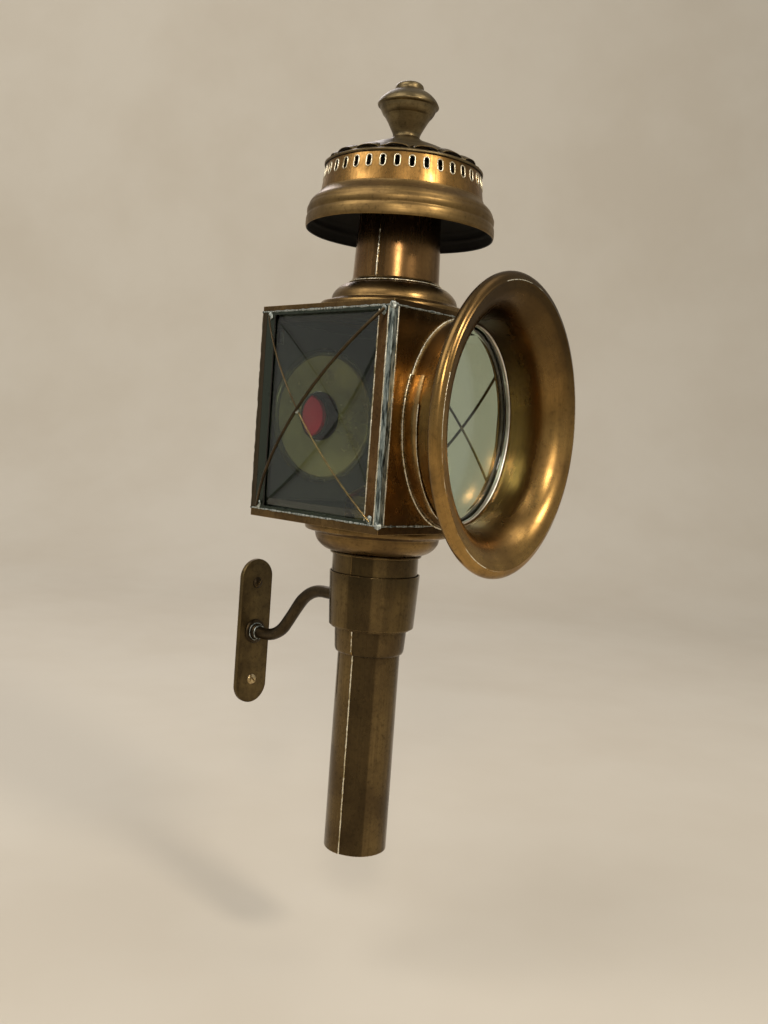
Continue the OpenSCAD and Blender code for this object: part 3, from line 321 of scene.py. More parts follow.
def silver_plate(name, bright, dull, spots, metal, rough, shaded_rim=False):
    """Silver plate on pressed brass, gone yellow: pale and satin, with small brown spots of tarnish. A dish's
    rolled rim can be painted dark, as painted shade."""
    made, tree, place = start_material(name)
    clouds = add(tree, "TexNoise", {"Vector": place, "Scale": 1 / 24, "Detail": 5.0, "Roughness": 0.6})
    specks = add(tree, "TexNoise", {"Vector": place, "Scale": 0.5, "Detail": 4.0, "Roughness": 0.6})
    colour = stained(tree, linear(bright), dull, clouds, 0.4, 0.66)
    colour = stained(tree, colour, spots, specks, 0.6, 0.8, 0.45)
    # painted shade: the dish's rolled rim is darkened
    if shaded_rim:
        centred = add(tree, "VectorMath", {0: place, 1: (0, 0, -WINDOW_MID_Z)}, operation="ADD")
        centred = add(tree, "VectorMath", {0: centred, 1: (1, 0, 1)}, operation="MULTIPLY")
        radius = add(tree, "VectorMath", {0: centred}, operation="LENGTH")
        colour = stained(tree, colour, "#3b3a2a", radius.outputs["Value"], 40.1, 40.7, 0.85)
    roughness = add(tree, "MapRange", {0: clouds, 1: 0.3, 2: 0.7, 3: rough[0], 4: rough[1]})
    relief = add(tree, "Bump", {"Height": specks, "Distance": 0.01 * MM})
    plate = add(tree, "BsdfPrincipled", {"Base Color": colour, "Metallic": metal, "Roughness": roughness,
                                         "Normal": relief})
    add(tree, "OutputMaterial", {"Surface": plate})
    return made


def dull_surface(name, tone, other, size_mm, relief_mm, rough, metal=0.0, wax=0.0):
    """A dull material of two tones that run into each other, such as rusty steel, wax or matt paint."""
    made, tree, place = start_material(name)
    clouds = add(tree, "TexNoise", {"Vector": place, "Scale": 1 / size_mm, "Detail": 4.0, "Roughness": 0.6})
    colour = stained(tree, linear(tone), other, clouds, 0.4, 0.66)
    roughness = add(tree, "MapRange", {0: clouds, 1: 0.3, 2: 0.7, 3: rough, 4: min(rough + 0.15, 1)})
    relief = add(tree, "Bump", {"Height": clouds, "Distance": relief_mm * MM})
    matt = add(tree, "BsdfPrincipled", {"Base Color": colour, "Metallic": metal, "Roughness": roughness,
                                        "Normal": relief, "Subsurface Weight": wax,
                                        "Subsurface Radius": (0.004, 0.003, 0.002)})
    add(tree, "OutputMaterial", {"Surface": matt})
    return made


# Brass by how each sheet was worked: spun, pressed, drawn or rolled
PRESSED = old_brass("pressed_foot_brass", "#8b7044", "#655032", "#2f261b", (0.22, 0.4))
NECK_SHEET = old_brass("rolled_neck_brass", "#9b784a", "#755635", "#3a2d1c", (0.17, 0.3), DRAWN_LINES,
                       patch=40, dents=0.05, shine=0.7, flats=NECK_REFLECTION_BANDS)
TUBE_SHEET = old_brass("rolled_tube_brass", "#7d6945", "#5a4a32", "#241d13", (0.18, 0.32), DRAWN_LINES,
                       patch=40, dents=0.05, shine=0.8, flats=TUBE_REFLECTION_BANDS)
SLEEVE_SHEET = old_brass("rolled_sleeve_brass", "#73613f", "#54452e", "#2a2217", (0.18, 0.32), DRAWN_LINES,
                         patch=34, flats=SLEEVE_REFLECTION_BANDS)
CAP_SHEET = old_brass("spun_cap_brass", "#866d43", "#624f32", "#32281b", (0.35, 0.5), patch=26, shine=0.5,
                      sooted_and_shaded=True)
GALLERY_SHEET = old_brass("pierced_gallery_brass", "#b0864c", "#775a30", "#362817", (0.22, 0.38),
                          DRAWN_LINES, patch=20, shine=0.9, sooted_and_shaded=True, flats=GALLERY_REFLECTION_BANDS)
ROOF_SHEET = old_brass("smoked_roof_brass", "#756749", "#524735", "#241e16", (0.36, 0.54), patch=16,
                       dents=0.08, shine=0.25, sooted_and_shaded=True)
FINIAL_BRASS = old_brass("turned_finial_brass", "#807151", "#584b34", "#282118", (0.3, 0.48), patch=14,
                         dents=0.08)
FRONT_SHEET = old_brass("polished_front_brass", "#a98a59", "#6f5635", "#2c2315", (0.2, 0.34), ROLLED_SHEET,
                        patch=34, dents=0.1, shine=0.5, specks=0.15)
PLATE_SHEET = old_brass("folded_plate_brass", "#7d643f", "#54422a", "#281f15", (0.28, 0.44), ROLLED_SHEET,
                        patch=18, dents=0.1, shine=0.7)
DOOR_SHEET = old_brass("folded_door_brass", "#8a6c42", "#5b472c", "#2b2116", (0.26, 0.42), ROLLED_SHEET,
                       patch=22, dents=0.1, shine=0.7, sooted_and_shaded=True)
STRIP_SHEET = old_brass("window_strip_brass", "#86653f", "#5b442b", "#281d13", (0.24, 0.4), DRAWN_LINES,
                        patch=26, shine=0.9, sooted_and_shaded=True, tinned=True)
# candle soot, and painted shade of the lantern's dim inside, on the inner parts
INNER_SOOT_AND_SHADE_SHEET = old_brass("sooty_and_shaded_inner_brass", "#2e342b", "#20251e", "#0d0e0c", (0.45, 0.62), ROLLED_SHEET,
                        shine=0.15)
BRACKET_BRASS = old_brass("dark_bracket_brass", "#4d412e", "#352c20", "#17120e", (0.34, 0.5), DRAWN_LINES,
                          patch=16, shine=0.35)
WALL_PLATE_BRASS = old_brass("brown_wall_plate_brass", "#6a5a3b", "#50432d", "#2a231a", (0.36, 0.52),
                             ROLLED_SHEET, patch=16, shine=0.3)
WIRE_BRASS = old_brass("drawn_wire_brass", "#a3905f", "#6e5c3f", "#33291c", (0.12, 0.24), DRAWN_LINES,
                       patch=12, dents=0.02, shine=0.1)
WORN_BRASS = old_brass("rubbed_edge_brass", "#d9c498", "#a98f60", "#57492f", (0.2, 0.34), DRAWN_LINES,
                       patch=12, dents=0.04)
BURR_BRASS = soft_solder("raised_burr_brass", "#e9e2cc", "#b7aa88", "#7c6f52", 0.85, (0.22, 0.36))
BELL_BRASS = spun_bell_brass("spun_bell_brass", "#ab874e", "#7c6139", "#3a2e1e", (0.22, 0.36))
SOLDER = soft_solder("soft_solder", "#b3b8b2", "#6d7672", "#2c3434", 0.7, (0.3, 0.5))
POST_SOLDER = soft_solder("post_solder", "#98a29d", "#4c5755", "#1c2221", 0.7, (0.3, 0.5), True)
SEAM_SOLDER = soft_solder("seam_solder", "#e9e3cf", "#d2c9ae", "#a4966f", 0.8, (0.2, 0.35))
PANE = glazing("bevelled_pane_glass", "#c7d4c3", "#c4d1bf", 0.014)
BELL_PANE = glazing("bell_pane_glass", "#eef4f0", "#f2f6f4", 0.014)
SIGNAL_RED = glazing("pressed_signal_glass", "#cf2a4c", "#e0405c", 0.12, 0.7)
DISH = silver_plate("yellowed_silver_plate", "#aa9a70", "#857550", "#3f351e", 0.6, (0.18, 0.32), True)
BRIGHT_RING = silver_plate("tinned_ring", "#d5d3c8", "#9c978a", "#6a6353", 0.9, (0.25, 0.4))
STEEL = dull_surface("spring_steel", "#77756f", "#5a4130", size_mm=4.0, relief_mm=0.03, rough=0.32, metal=0.9)
WAX = dull_surface("stearin_wax", "#efe6cf", "#ddcfab", size_mm=7.0, relief_mm=0.05, rough=0.42, wax=0.3)
WICK = dull_surface("charred_cotton", "#1c1815", "#4a4036", size_mm=0.8, relief_mm=0.15, rough=0.85)
PAINT = dull_surface("studio_paint", "#c8c2b6", "#c3bcaf", size_mm=400.0, relief_mm=0.0, rough=0.85)


# Mesh helpers

noise.seed_set(5)  # with no seed, the knocks that noise_vector gives would differ from run to run
UP = Vector((0, 0, 1))
TO_FRONT = Matrix.Rotation(math.pi / 2, 4, "X")  # turns what points up away from the wall


def of_kind(kind, geom):
    """The verts, edges or faces among what an operator gives back."""
    return [g for g in geom if isinstance(g, kind)]


def circle(count, radius, across=0.0, up=0.0):
    """Points (across, up) round a circle."""
    turns = (tau * i / count for i in range(count))
    return [(across + radius * cos(a), up + radius * sin(a)) for a in turns]


def placed(bm, matrix):
    bmesh.ops.transform(bm, matrix=matrix, verts=bm.verts)
    return bm


def shown(name, bm, finish):
    """Makes an object from a bmesh, shaded smooth."""
    mesh = bpy.data.meshes.new(name)
    bm.to_mesh(mesh)
    bm.free()
    mesh.polygons.foreach_set("use_smooth", [True] * len(mesh.polygons))
    mesh.materials.append(finish)
    made = bpy.data.objects.new(name, mesh)
    scene.collection.objects.link(made)
    return made


def piece(name, bm, finish, body, stands_for=(), smooth=32.0):
    """Makes a piece that is smooth up to an angle in degrees, and lets it ride on a CAD body."""
    bmesh.ops.remove_doubles(bm, verts=bm.verts, dist=1e-6)
    bmesh.ops.recalc_face_normals(bm, faces=bm.faces)
    made = shown(name, bm, finish)
    made.data.set_sharp_from_angle(angle=radians(smooth))
    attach(made, body)
    if stands_for:
        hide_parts(*stands_for)
    return made


def outline(bm, points, closed=True):
    """Edges through points (radius, height) in mm, in the XZ plane."""
    verts = [bm.verts.new((r * MM, 0, z * MM)) for r, z in points]
    pairs = zip(verts, verts[1:] + verts[:1] if closed else verts[1:])
    return verts, [bm.edges.new(pair) for pair in pairs]


def spun_round(points, steps, closed=True):
    """An outline spun once round the Z axis."""
    bm = bmesh.new()
    verts, edges = outline(bm, points, closed)
    bmesh.ops.spin(bm, geom=verts + edges, cent=(0, 0, 0), axis=(0, 0, 1), angle=tau, steps=steps,
                   use_merge=True)
    return bm


def spun_open(points, angle, steps):
    """An outline spun by an angle, and the edges of its first and of its last copy, which stay apart."""
    bm = bmesh.new()
    verts, first = outline(bm, points)
    spun = bmesh.ops.spin(bm, geom=verts + first, cent=(0, 0, 0), axis=(0, 0, 1), angle=angle, steps=steps)
    return bm, (first, of_kind(BMEdge, spun["geom_last"]))


def close_ends(bm, ends, start):
    """Fills both ends of an open spin, and turns it to start at an angle in degrees."""
    for loop in ends:
        bmesh.ops.contextual_create(bm, geom=loop)
    return placed(bm, Matrix.Rotation(radians(start), 4, "Z"))


def on_axis(bm):
    """Moves a mesh from the Z axis to the lamp's axis."""
    return placed(bm, Matrix.Translation((0, -REACH * MM, 0)))


def turned(points, steps=128):
    """An outline spun once round the lamp's axis."""
    return on_axis(spun_round(points, steps))


def lapped(points, seam, lap=0.35):
    """A rolled tube: its outline ends on top of its own start, so the seam stands out by lap mm."""
    lift = 28  # degrees over which the sheet's end rises
    bm, ends = spun_open(points, tau, 144)
    start, finish = ({v for e in loop for v in e.verts} for loop in ends)
    for v in bm.verts:
        turn = math.degrees(math.atan2(v.co.y, v.co.x)) % 360
        share = 1.0 if v in finish else 0.0 if v in start else max(0.0, (turn - 360 + lift) / lift)
        v.co += Vector((v.co.x, v.co.y, 0)).normalized() * lap * MM * share * share
    return on_axis(close_ends(bm, ends, seam))


def pulled(bm, loop, shift):
    """Extrudes a chain of edges by a shift in mm, and gives the new edges."""
    grown = bmesh.ops.extrude_edge_only(bm, edges=loop)["geom"]
    bmesh.ops.translate(bm, verts=of_kind(BMVert, grown), vec=[d * MM for d in shift])
    return of_kind(BMEdge, grown)


def curve_through(points, per=4):
    """Points joined by a smooth curve that goes through each of them."""
    p = [Vector(q) for q in points]
    p = [2 * p[0] - p[1]] + p + [2 * p[-1] - p[-2]]
    line = []
    for a, b, c, d in zip(p, p[1:], p[2:], p[3:]):
        for i in range(per):
            t = i / per
            line.append(0.5 * (2 * b + (c - a) * t + (2 * a - 5 * b + 4 * c - d) * t * t
                               + (3 * b - a - 3 * c + d) * t ** 3))
    return [tuple(q) for q in line] + [tuple(points[-1])]


def sheet_ring(line, t):
    """An outline closed by the same line, t mm to its inner side."""
    inner = []
    for i, q in enumerate(line):
        along = (Vector(line[min(i + 1, len(line) - 1)]) - Vector(line[max(i - 1, 0)])).normalized()
        inner.append((q[0] - along.y * t, q[1] + along.x * t))
    return list(line) + inner[::-1]


def hand_made(bm, amount, size, seed=0.0):
    """Moves the vertices by up to amount mm, as years of knocks do."""
    shift = Vector((seed, seed * 1.7, -seed))
    for v in bm.verts:
        v.co += noise.noise_vector(v.co / (size * MM) + shift) * amount * MM
    return bm


def hand_rolled(bm, depth, flats, seed):
    """Gives a tube the long flats that rolling by hand leaves."""
    across = flats / tau
    for v in bm.verts:
        out = Vector((v.co.x, v.co.y + REACH * MM, 0)).normalized()
        v.co += out * depth * MM * noise.noise(Vector((out.x * across, out.y * across, seed + v.co.z * 4)))
    return bm


def bead(name, path, radius, finish, rough, body="lantern", seed=1, closed=False, step=2.0):
    """A lumpy bead of solder, or with rough 0 a wire, laid along a path in mm."""
    dice = random.Random(seed)
    points = [Vector(p) for p in path]
    if closed:
        points.append(points[0])
    line = [points[0]]
    for a, b in zip(points, points[1:]):
        count = max(1, round((b - a).length / step))
        line += [a.lerp(b, (i + 1) / count) for i in range(count)]
    if closed:
        line.pop()
    curve = bpy.data.curves.new(name, "CURVE")
    curve.dimensions = "3D"
    curve.bevel_depth = radius * MM
    curve.bevel_resolution = 3
    curve.use_fill_caps = not closed
    spline = curve.splines.new("POLY")
    spline.points.add(len(line) - 1)
    spline.use_cyclic_u = closed
    for target, p in zip(spline.points, line):
        jog = Vector([dice.uniform(-1, 1) for _ in range(3)]) * radius * rough * 0.3
        target.co = (*((p + jog) * MM), 1)
        target.radius = 1 + dice.uniform(-rough, rough)
    holder = bpy.data.objects.new(name + "_path", curve)
    scene.collection.objects.link(holder)
    mesh = bpy.data.meshes.new_from_object(holder.evaluated_get(bpy.context.evaluated_depsgraph_get()))
    bpy.data.objects.remove(holder)
    bm = bmesh.new()
    bm.from_mesh(mesh)
    bpy.data.meshes.remove(mesh)
    return piece(name, bm, finish, body, smooth=80)


def joined(parts):
    """Several bmeshes as one."""
    whole = bmesh.new()
    for part in parts:
        mesh = bpy.data.meshes.new("part")
        part.to_mesh(mesh)
        part.free()
        whole.from_mesh(mesh)
        bpy.data.meshes.remove(mesh)
    return whole


def round_axis(count, offset, radius, z, lean, make):
    """Copies of a small piece round the axis. In a copy X runs round, Y in and up a slope of lean degrees,
    and Z out of it."""
    c, s = cos(radians(lean)), sin(radians(lean))
    parts = []
    for i in range(count):
        a = tau * (i + offset) / count
        out, along = Vector((cos(a), sin(a), 0)), Vector((-sin(a), cos(a), 0))
        slope, normal = s * UP - c * out, c * UP + s * out
        turn = Matrix((along, slope, normal)).transposed().to_4x4()
        place = out * radius * MM + Vector((0, -REACH * MM, z * MM))
        parts.append(placed(make(), Matrix.Translation(place) @ turn))
    return joined(parts)


# Bell and its glass

def to_oval(bm):
    """Stretches a round shape into the bell's upright oval, and puts it on the lantern's front."""
    for v in bm.verts:
        r = math.hypot(v.co.x, v.co.y) / MM
        v.co.y *= STRETCH + (NECK_B - NECK_A * STRETCH) / r
    return placed(bm, Matrix.Translation((0, -(REACH + HALF) * MM, BELL_Z * MM)) @ TO_FRONT)


def oval_turned(points):
    """An outline of (opening past the neck, distance from the front plate), carried round the oval."""
    return to_oval(spun_round([(NECK_A + s, d) for s, d in points], 160))


def oval_strip(points, start, sweep):
    """The same over part of the way round in degrees, with its ends closed."""
    bm, ends = spun_open([(NECK_A + s, d) for s, d in points], radians(sweep), 110)
    return to_oval(close_ends(bm, ends, start))


def bell_outline():
    """Up inside the neck and flare, over a small ridge, round the rolled rim and back down outside."""
    def flare(degrees, out=0.0):
        a = radians(degrees)
        normal = Vector((FLARE_LEN * cos(a), -FLARE_OUT * sin(a))).normalized()
        base = Vector((FLARE_OUT * (1 - cos(a)), NECK_LEN + FLARE_LEN * sin(a)))
        return tuple(base + out * normal)

    def rim(r, degrees):
        a = radians(degrees)
        r += 0.4 * math.exp(-((degrees - 4) / 7) ** 2)
        return (FLARE_OUT + r * sin(a), NECK_LEN + FLARE_LEN - ROLL + r * cos(a))

    inside = [(0.0, 0.3), (0.0, 4.0), (0.0, 8.0)] + [flare(4.25 * i) for i in range(20)]
    roll = [rim(ROLL, -8 + 4 * i) for i in range(8)] + [rim(ROLL, 30 + 10 * i) for i in range(18)]
    roll_back = [rim(ROLL - 1.0, 196 - 17 * i) for i in range(11)]
    outside = [flare(81 - 4.5 * i, 1.0) for i in range(19)]
    return inside + roll + roll_back + outside + [(1.0, 8.0), (1.0, 4.0), (1.0, 0.3)]


piece("spun_bell", hand_made(oval_turned(bell_outline()), 0.22, 45), BELL_BRASS, "lantern", ["bell"],
      50)
band_line = [(1.1, 0.3), (1.9, 0.3), (2.0, 0.6), (2.0, 10.1), (1.8, 10.6), (1.1, 10.6)]
piece("lapped_neck_band", hand_made(oval_strip(band_line, BAND_START, BAND_SWEEP), 0.12, 22, 3), FRONT_SHEET,
      "lantern", ["neck_band"])
ridge = radians(6)
ridge_highlight_ring = circle(8, 0.32, FLARE_OUT + ROLL * sin(ridge), NECK_LEN + FLARE_LEN - ROLL + ROLL * cos(ridge))
# the band's edge and the rim's ridge get thin pale rings as painted highlights; the other rings are solder
for name, bm, amount, seed in (
        ("neck_solder", oval_turned(circle(8, 0.6, 1.3, 0.5)), 0.12, 4),
        ("band_solder", oval_strip(circle(8, 0.55, 2.3, 0.45), BAND_START, BAND_SWEEP), 0.12, 5),
        ("band_edge_highlight", oval_strip(circle(8, 0.32, 1.9, 10.8), 172, 196), 0.12, 6),
        ("rim_ridge_highlight", oval_turned(ridge_highlight_ring), 0.06, 7)):
    piece(name, hand_made(bm, amount, 8, seed), SEAM_SOLDER, "lantern", smooth=80)
bezel_line = [(-0.1, 6.2), (-0.1, 8.2), (-0.5, 8.6), (-1.0, 8.4), (-1.2, 7.6), (-1.2, 6.2)]
piece("front_glass_bezel", hand_made(oval_turned(bezel_line), 0.08, 14, 5), BRIGHT_RING, "lantern",
      ["front_bezel"], 60)


def oval_glass():
    """A bevelled oval pane, flat at the back."""
    bm = bmesh.new()
    bmesh.ops.create_circle(bm, cap_ends=True, segments=160, radius=1.0)
    bmesh.ops.scale(bm, verts=bm.verts, vec=((NECK_A - 0.2) * MM, (NECK_B - 0.2) * MM, 1))
    top = bm.faces[:]
    for rise, inset in ((1.8, 0.0), (1.2, 5.8)):
        grown = bmesh.ops.extrude_face_region(bm, geom=top, use_keep_orig=not inset)["geom"]
        verts = of_kind(BMVert, grown)
        bmesh.ops.translate(bm, verts=verts, vec=(0, 0, rise * MM))
        bmesh.ops.scale(bm, verts=verts, vec=(1 - inset / NECK_A, 1 - inset / NECK_B, 1))
        if inset:
            bmesh.ops.delete(bm, geom=top, context="FACES_ONLY")
        top = of_kind(BMFace, grown)
    return placed(bm, Matrix.Translation((0, -(REACH + HALF + 3.1) * MM, BELL_Z * MM)) @ TO_FRONT)


piece("bevelled_front_glass", oval_glass(), BELL_PANE, "lantern", ["front_glass"], 8)

# Cap, from the skirt up to the finial

skirt_line = [(SKIRT_R - 0.4, 0), (SKIRT_R, 0.05), (SKIRT_R + 0.1, 0.14), (SKIRT_R - 0.1, 0.27),
              (SKIRT_R - 0.7, 0.34), (SKIRT_R - 0.4, 0.41), (SKIRT_R - 0.4, 0.51), (SKIRT_R - 1.2, 0.6),
              (SKIRT_R - 1.6, 0.66), (SKIRT_R - 2.9, 0.75), (GALLERY_R0 + 3.5, 0.82),
              (GALLERY_R0 + 1.9, 0.89), (GALLERY_R0 + 0.7, 0.96), (GALLERY_R0 + 0.4, 1)]
skirt = sheet_ring(curve_through([(r, z * SKIRT_H + CAP_Z) for r, z in skirt_line]), 0.9)
piece("spun_skirt", hand_made(turned(skirt, 160), 0.3, 30, 7), CAP_SHEET, "lantern", ["cap_skirt"],
      50)

finial_line = [(0.445, 0), (0.44, 0.045), (0.466, 0.095), (0.53, 0.166), (0.603, 0.243), (0.683, 0.32),
               (0.746, 0.377), (0.767, 0.389), (0.804, 0.412), (0.857, 0.457), (0.894, 0.504),
               (0.915, 0.54), (0.974, 0.558), (1, 0.582), (0.984, 0.605), (0.937, 0.653), (0.862, 0.7),
               (0.757, 0.751), (0.635, 0.795), (0.534, 0.825), (0.487, 0.84), (0.471, 0.861),
               (0.471, 0.896), (0.45, 0.932), (0.392, 0.964), (0.296, 0.985), (0.159, 0.997), (0, 1)]
finial = curve_through([(r * FINIAL_R, z * FINIAL_H + FINIAL_Z) for r, z in finial_line], 3)
finial = turned([(0.0, FINIAL_Z)] + [(max(r, 0.0), z) for r, z in finial], 96)
piece("turned_finial", hand_made(finial, 0.25, 12, 9), FINIAL_BRASS, "lantern", ["finial"], 50)


def slot_rim():
    """The burr that the punch raised round one slot of the gallery."""
    bm = spun_round(circle(6, 0.4, 1.72), 20)
    for v in bm.verts:
        if abs(v.co.y) > 1e-7:
            v.co.y += math.copysign(1.75, v.co.y) * MM
    return bm


def half_dome(wide, deep, high):
    """A quarter of an egg, which lies on the roof and opens towards the rim."""
    bm = bmesh.new()
    bmesh.ops.create_uvsphere(bm, u_segments=24, v_segments=12, radius=1.0)
    bmesh.ops.scale(bm, verts=bm.verts, vec=(wide * MM, deep * MM, high * MM))
    for axis in ((0, 0, 1), (0, 1, 0)):
        bmesh.ops.bisect_plane(bm, geom=bm.verts[:] + bm.edges[:] + bm.faces[:], dist=1e-7,
                               plane_co=(0, 0, 0), plane_no=axis, clear_inner=True)
    bmesh.ops.recalc_face_normals(bm, faces=bm.faces)
    return bm


def vent_hood():
    """A hood pressed up over one vent of the roof."""
    bm = half_dome(7.4, 10.0, 2.6)
    bmesh.ops.solidify(bm, geom=bm.faces[:], thickness=0.4 * MM)
    return bm


def vent_shade_patch():
    """A dark patch under a hood: painted shade that stands for the hole."""
    bm = half_dome(6.9, 9.4, 2.2)
    bmesh.ops.contextual_create(bm, geom=[e for e in bm.edges if e.is_boundary])
    return placed(bm, Matrix.Translation((0, 0.35 * MM, 0)))


slot_z = ROOF_Z - SLOT_TOP - SLOT_H / 2
slot_r = GALLERY_R0 + (GALLERY_R1 - GALLERY_R0) * (slot_z - GALLERY_Z) / GALLERY_H
gallery_lean = 90 - math.degrees(math.atan2(GALLERY_R0 - GALLERY_R1, GALLERY_H))
burrs = round_axis(SLOTS, 0, slot_r, slot_z, gallery_lean, slot_rim)
piece("slot_burrs", burrs, BURR_BRASS, "lantern", smooth=70)
hoods, shade_patches = (round_axis(VENTS, VENT_START, VENT_R, VENT_Z, ROOF_SLOPE, make)
                 for make in (vent_hood, vent_shade_patch))
piece("vent_hoods", hand_made(hoods, 0.2, 9, 3), ROOF_SHEET, "lantern", smooth=60)
# the dark patches under the hoods are painted shade
piece("vent_shade_patches", shade_patches, WICK, "lantern", smooth=30)
rim_line = [(47.2, 0.1), (48.5, 0.1), (48.9, 0.5), (48.9, 1.2), (48.4, 1.5), (47.2, 1.4)]
piece("roof_rim", hand_made(turned([(r, z + ROOF_Z - 0.4) for r, z in rim_line]), 0.15, 14, 2), ROOF_SHEET,
      "lantern")

# Chimney neck and the pressed feet

foot_line = [(46.0, 0.0), (46.05, 1.2), (46.0, 3.0), (45.7, 4.2), (44.8, 5.0), (42.0, 5.8), (39.9, 6.4),
             (39.2, 7.3), (39.0, 8.4), (38.5, 10.2), (37.3, 12.2), (35.6, 14.1), (33.4, 15.8), (31.2, 16.9),
             (29.2, 17.4), (28.6, 17.7), (28.45, 18.0)]
for name, node, base, up, seed in (("chimney_ogee", "chimney_foot", BODY_TOP_Z, 1, 11),
                                   ("lower_ogee", "bottom_dome", BODY_Z, -1, 13)):
    line = [(r, base + up * z) for r, z in curve_through(foot_line)]
    piece(name, hand_made(turned(sheet_ring(line[::up], 0.9)), 0.25, 26, seed), PRESSED, "lantern", [node],
          50)
neck_line = [(27.6, BODY_TOP_Z), (27.2, 232.0), (26.9, 240.0), (26.3, 256.0), (25.6, 270.0), (24.5, 297.0)]
neck_line += [(r - 0.8, z) for r, z in neck_line[::-1]]
piece("rolled_neck", hand_rolled(lapped(neck_line, NECK_SEAM, 0.45), 0.35, 9, 17), NECK_SHEET, "lantern",
      ["chimney_neck"])
fillet = [(27.1, 237.8), (28.6, 237.8), (28.85, 238.2), (28.5, 238.8), (27.5, 239.4), (27.2, 240.4),
          (26.7, 240.4)]
piece("neck_fillet", hand_made(turned(fillet), 0.15, 10, 19), PRESSED, "lantern", smooth=50)
fillet_edge = turned(circle(8, 0.38, 28.75, 238.3))
piece("fillet_edge_solder", hand_made(fillet_edge, 0.15, 10, 19), SEAM_SOLDER, "lantern",
      smooth=80)

# Sleeve, socket, collar and candle tube

sleeve_line = [(26.3, SLEEVE_Z + 0.1), (26.6, SLEEVE_Z), (26.85, SLEEVE_Z + 0.35), (27.7, 42.0),
               (28.55, SLEEVE_TOP_Z - 0.4), (28.5, SLEEVE_TOP_Z), (27.9, SLEEVE_TOP_Z),
               (27.7, SLEEVE_TOP_Z - 0.4), (26.8, 42.0), (25.9, SLEEVE_Z + 0.5)]
piece("lapped_sleeve", hand_rolled(lapped(sleeve_line, SLEEVE_SEAM, 0.2), 0.6, 11, 21), SLEEVE_SHEET,
      "bracket", ["bracket_sleeve"])
socket_line = [(23.1, SLEEVE_Z - 1), (25.3, SLEEVE_Z - 1), (25.45, SLEEVE_Z - 0.6), (27.3, SLEEVE_TOP_Z),
               (27.3, 70.6), (28.4, 70.7), (29.0, 70.9), (29.1, 71.5), (28.9, 72.0), (26.5, 72.0),
               (26.5, SLEEVE_TOP_Z), (24.6, SLEEVE_Z + 0.3), (23.1, SLEEVE_Z + 0.2)]
piece("lapped_socket", hand_rolled(lapped(socket_line, SOCKET_SEAM), 0.3, 11, 23), SLEEVE_SHEET, "lantern",
      ["socket"])
tube_line = [(TUBE_R - 0.6, TUBE_Z0), (TUBE_R, TUBE_Z0)] + [(TUBE_R, z) for z in range(-104, 97, 20)]
tube_line += [(TUBE_R, TUBE_Z1), (TUBE_R - 0.7, TUBE_Z1), (TUBE_R - 0.7, TUBE_Z0 + 0.6)]
piece("rolled_tube", hand_rolled(lapped(tube_line, TUBE_SEAM, 0.4), 0.45, 9, 25), TUBE_SHEET, "candle_tube",
      ["candle_tube"])
collar_line = [(19.8, COLLAR_Z), (20.6, COLLAR_Z), (21.3, 9.0), (21.8, 10.0), (22.1, 11.6), (22.6, 20.0),
               (22.7, 23.5), (22.7, COLLAR_TOP_Z), (19.8, COLLAR_TOP_Z), (19.8, COLLAR_TOP_Z - 1),
               (21.7, COLLAR_TOP_Z - 1), (21.7, 24.0), (21.1, 12.0), (19.8, 9.5)]
piece("lapped_collar", hand_rolled(lapped(collar_line, TUBE_SEAM, 0.3), 0.2, 9, 27), TUBE_SHEET,
      "candle_tube", ["tube_collar"])


def seam(name, degrees, heights, radii, radius, finish, body, seed):
    """A thin line of solder up a lapped seam."""
    a = radians(degrees)
    path = [(r * cos(a), r * sin(a) - REACH, z) for r, z in zip(radii, heights)]
    bead(name, path, radius, finish, 0.45, body, seed=seed, step=1.5)


seam("tube_seam_solder", TUBE_SEAM - 0.4, (-117.6, 8.4), (19.9, 19.9), 0.4, SEAM_SOLDER, "candle_tube", 71)
seam("tube_second_seam", TUBE_SEAM - 10.5, (-117.6, 8.4), (19.62, 19.62), 0.2, WORN_BRASS, "candle_tube", 72)
seam("collar_seam_solder", TUBE_SEAM - 0.4, (11, 23.8), (22.2, 22.8), 0.32, SEAM_SOLDER, "candle_tube", 73)
seam("neck_seam_solder", NECK_SEAM - 0.6, (240.6, 268), (27.2, 26.05), 0.42, SEAM_SOLDER, "lantern", 74)

# Wall bracket

def rounded_plate():
    """A round-ended plate with eased edges."""
    bm = bmesh.new()
    bmesh.ops.create_circle(bm, cap_ends=True, segments=64, radius=PLATE_W / 2 * MM)
    for v in bm.verts:
        if abs(v.co.y) > 1e-7:
            v.co.y += math.copysign((PLATE_H - PLATE_W) / 2, v.co.y) * MM
    grown = bmesh.ops.extrude_face_region(bm, geom=bm.faces[:], use_keep_orig=True)["geom"]
    bmesh.ops.translate(bm, verts=of_kind(BMVert, grown), vec=(0, 0, PLATE_T * MM))
    rim = [e for e in bm.edges if all(v.co.z > (PLATE_T - 0.1) * MM for v in e.verts)]
    bmesh.ops.bevel(bm, geom=rim, offset=0.9 * MM, segments=3, profile=0.5, affect="EDGES", material=-1)
    return placed(bm, TO_FRONT)


def screw_head(turn):
    """A raised screw head with a worn slot."""
    line = [(0.0, 1.9), (1.4, 1.8), (2.7, 1.35), (3.6, 0.7), (4.0, 0.1), (4.0, -0.8), (0.0, -0.8)]
    bm = spun_round(line, 40, closed=False)
    bmesh.ops.remove_doubles(bm, verts=bm.verts, dist=1e-6)
    for side in (0.55, 0.45, -0.45, -0.55):
        bmesh.ops.bisect_plane(bm, geom=bm.verts[:] + bm.edges[:] + bm.faces[:], dist=1e-7,
                               plane_co=(0, side * MM, 0), plane_no=(0, 1, 0))
    for v in bm.verts:
        if abs(v.co.y) < 0.5 * MM and v.co.z > 0.2 * MM:
            v.co.z = min(v.co.z, 0.7 * MM)
    return placed(bm, TO_FRONT @ Matrix.Rotation(turn, 4, "Z"))


